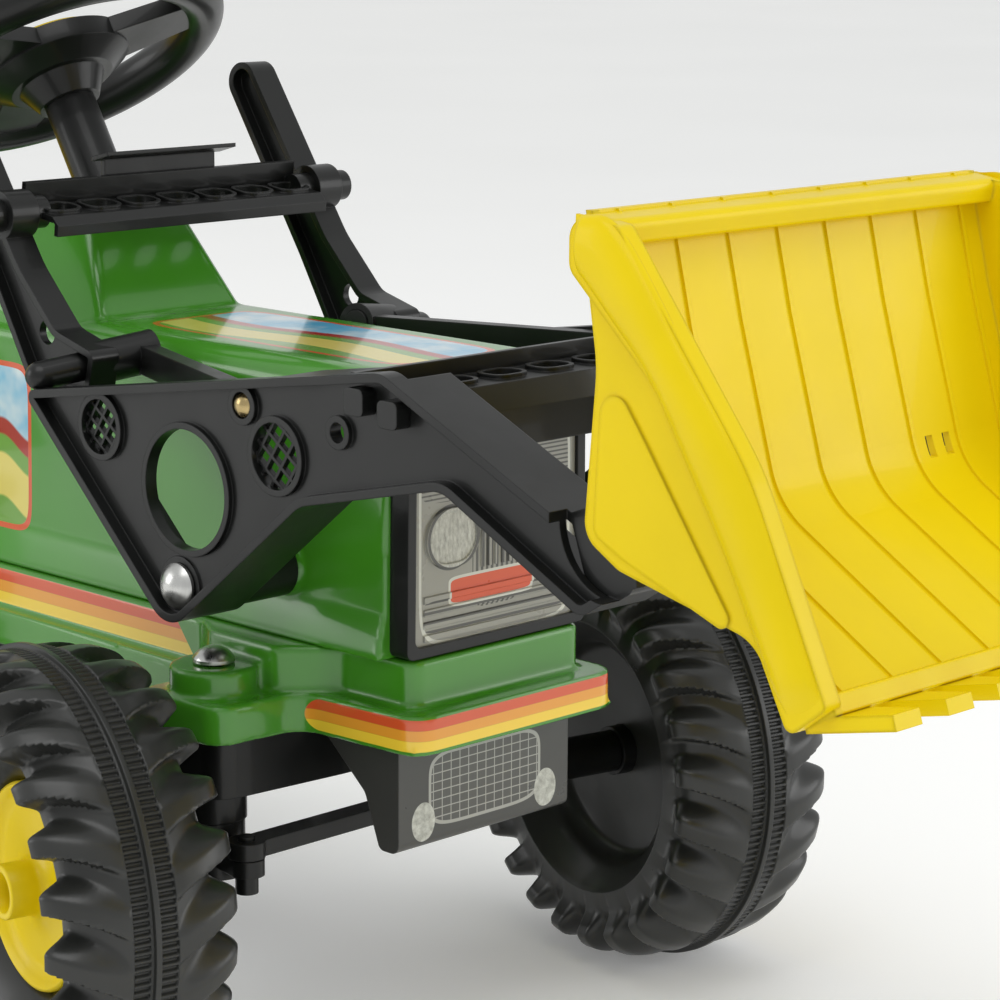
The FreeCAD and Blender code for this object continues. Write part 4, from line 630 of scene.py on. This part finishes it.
def rim_rows(opening, angles):
    """Closed section of the dished rim and its hub tube."""
    edge = opening - RIM_INSET
    socket = [(HUB_BORE, 10), (HUB_SOCKET, 10), (HUB_SOCKET, 23), (HUB_SOCKET + 0.5, 23.5)]
    tube = [(HUB_RADIUS - 0.6, 23.5), (HUB_RADIUS, 22.9), (HUB_RADIUS, 11), (HUB_RADIUS + 0.8, 8.5),
            (HUB_RADIUS + 3, 6.5)]
    dish = [(0.5 * edge, 4.5), (0.8 * edge, 3.8), (0.86 * edge, 4.2), (0.92 * edge, 6.6),
            (0.96 * edge, 8.6), (edge - 0.6, 9.2), (edge + 0.6, 8.6), (edge + 1, 7.4)]
    back = [(edge + 1, -4), (edge - 3, -7.6), (HUB_RADIUS, -7.6), (HUB_RADIUS, -21), (HUB_BORE, -21)]
    return same_rows(socket + tube + dish + back, angles)


def swept(rows, angles, centre, turn, side):
    """Points and faces of a closed form swept round a wheel's axle through the given sections."""
    count, size = rows.shape[:2]
    x = rows[..., 0] * np.cos(angles)[:, None]
    z = rows[..., 0] * np.sin(angles)[:, None]
    y = side * rows[..., 1]
    ahead = x * math.cos(turn) - y * math.sin(turn)
    aside = x * math.sin(turn) + y * math.cos(turn)
    places = np.stack((ahead, aside, z), axis=2).reshape(-1, 3) / PER_METRE + np.array(centre)
    here = np.arange(count)[:, None] * size
    there = np.roll(here, -1, axis=0)
    this, following = np.arange(size)[None, :], np.roll(np.arange(size), -1)[None, :]
    corners = (here + this, here + following, there + following, there + this)
    faces = np.stack(corners, axis=2).reshape(-1, 4)
    return places, faces if side < 0 else faces[:, ::-1]


def add_wheels():
    """Moulded tyres and rims in the places of the plainer CAD ones."""
    angles = np.arange(BAND_TEETH * TOOTH_STEPS) * 2 * math.pi / (BAND_TEETH * TOOTH_STEPS)
    rim_angles = np.arange(RIM_STEPS) * 2 * math.pi / RIM_STEPS
    tyre_look = plastic("moulded_tyre", CHARCOAL, rough=0.33, coat=0.05, grain=0.03)
    arm = FRONT_WHEEL_Y - KINGPIN_Y
    for side, name in SIDES:
        front = (AXLE_X - side * arm * math.sin(STEER_AT_REST),
                 side * (KINGPIN_Y + arm * math.cos(STEER_AT_REST)), FRONT_RADIUS)
        rear = (AXLE_X + REAR_AXLE_X, side * REAR_WHEEL_Y, REAR_RADIUS)
        for end, centre, turn, radius, opening, lugs in (
                ("front", front, STEER_AT_REST, FRONT_RADIUS, FRONT_OPENING, FRONT_LUGS),
                ("rear", rear, 0.0, REAR_RADIUS, REAR_OPENING, REAR_LUGS)):
            tyre, rim = end + "_tyre_" + name, end + "_rim_" + name
            rim_look = rim_yellow(rim + "_plastic", centre, turn, side)
            tyre_section = tyre_rows(radius * PER_METRE, opening, lugs, angles)
            made = ((tyre, tyre_section, angles, tyre_look, "tyre_plastic"),
                    (rim, rim_rows(opening, rim_angles), rim_angles, rim_look, "yellow_plastic"))
            for node, rows, around, look, slot in made:
                places, faces = swept(rows, around, centre, turn, side)
                piece = new_piece(node + "_moulded", places, faces, look)
                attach(piece, body_of(frame["nodes"][node])[0])
                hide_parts(node)


def add_flanges():
    """Rounded rolls over the flat bands along the bucket's side edges."""
    front, back = along(FLANGE_FRONT, FLANGE_STEPS), along(FLANGE_BACK, FLANGE_STEPS)
    t, v = np.linspace(0, 1, FLANGE_STEPS), np.linspace(0, 1, FLANGE_ACROSS)
    place = front[:, None] * (1 - v)[None, :, None] + back[:, None] * v[None, :, None]
    ends = eased(t, 0.0, FLANGE_END) * (1 - eased(t, 1 - FLANGE_END, 1.0))
    roll = FLANGE_ROLL * np.sqrt(np.clip(np.sin(math.pi * v), 0.0, 1.0))
    reach = FLANGE_FOOT + ends[:, None] * roll[None, :]
    index = np.arange(FLANGE_STEPS * FLANGE_ACROSS).reshape(FLANGE_STEPS, FLANGE_ACROSS)
    quads = (index[:-1, :-1], index[1:, :-1], index[1:, 1:], index[:-1, 1:])
    top = np.stack([q.ravel() for q in quads], axis=1)
    border = np.concatenate((index[:-1, 0], index[-1, :-1], index[:0:-1, -1], index[0, :0:-1]))
    after = np.roll(border, -1)
    walls = np.stack((after, border, border + index.size, after + index.size), axis=1)
    faces = np.concatenate((top, top[:, ::-1] + index.size, walls))
    for side, name in SIDES:
        layers = []
        for height in (reach, np.full_like(reach, FLANGE_SUNK)):
            layer = np.stack((place[..., 0] + PER_METRE * AXLE_X, side * height, place[..., 1]), axis=2)
            layers.append(layer.reshape(-1, 3))
        places = np.concatenate(layers) / PER_METRE
        turned = faces if side > 0 else faces[:, ::-1]
        piece = new_piece("bucket_flange_" + name, places, turned, slots["yellow_plastic"])
        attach(piece, body_of(frame["nodes"]["bucket"])[0])


add_wheels()
add_flanges()


# Camera, floor and light

def aim_camera():
    """The camera at the place, angle and roll that were solved from the photograph."""
    data = bpy.data.cameras.new("camera")
    data.lens = CAMERA_LENS
    data.sensor_width = SENSOR
    data.clip_start = CLIP_START
    camera = bpy.data.objects.new("camera", data)
    scene.collection.objects.link(camera)
    a, e, roll = CAMERA_AZIMUTH, CAMERA_ELEVATION, CAMERA_ROLL
    back = Vector((math.sin(a) * math.cos(e), -math.cos(a) * math.cos(e), math.sin(e)))
    right = Vector((math.cos(a), math.sin(a), 0))
    up = back.cross(right)
    turned_right = right * math.cos(roll) + up * math.sin(roll)
    turned_up = up * math.cos(roll) - right * math.sin(roll)
    rotation = Matrix((turned_right, turned_up, back)).transposed()
    camera.matrix_world = Matrix.Translation(CAMERA_AT) @ rotation.to_4x4()
    scene.camera = camera


def add_floor():
    """A pale paper floor that keeps the shadow."""
    bpy.ops.mesh.primitive_plane_add(size=FLOOR_SIZE, location=(0, 0, -FLOOR_DROP))
    floor = bpy.context.object
    floor.name = "floor"
    g = Graph("floor_paper")
    tone = g.spread(g.noise(PAPER_SCALE, detail=2.0), 0, 1)
    g.link(g.mix(tone, PAPER, BRIGHT_PAPER), g.shader.inputs["Base Color"])
    g.shader.inputs["Roughness"].default_value = PAPER_ROUGH
    g.shader.inputs["Specular IOR Level"].default_value = PAPER_GLOSS
    g.shader.inputs["Emission Color"].default_value = PAPER_GLOW
    g.shader.inputs["Emission Strength"].default_value = FLOOR_GLOW
    floor.data.materials.append(g.material)


def add_light(name, place, size, power):
    """A soft lamp that faces the tractor."""
    data = bpy.data.lights.new(name, "AREA")
    data.shape = "RECTANGLE"
    data.size, data.size_y = size
    data.energy = power
    lamp = bpy.data.objects.new(name, data)
    lamp.location = place
    lamp.rotation_euler = (Vector(LIGHT_TARGET) - Vector(place)).to_track_quat("-Z", "Y").to_euler()
    scene.collection.objects.link(lamp)


def light_room():
    """Even light all round and the soft lamps."""
    world = bpy.data.worlds.new("studio")
    scene.world = world
    world.use_nodes = True
    background = world.node_tree.nodes["Background"]
    background.inputs[0].default_value = ROOM_COLOUR
    background.inputs[1].default_value = ROOM_STRENGTH
    for name, (place, size, power) in STUDIO_LIGHTS.items():
        add_light(name, place, size, power)


aim_camera()
add_floor()
light_room()
scene.view_settings.view_transform = "Standard"
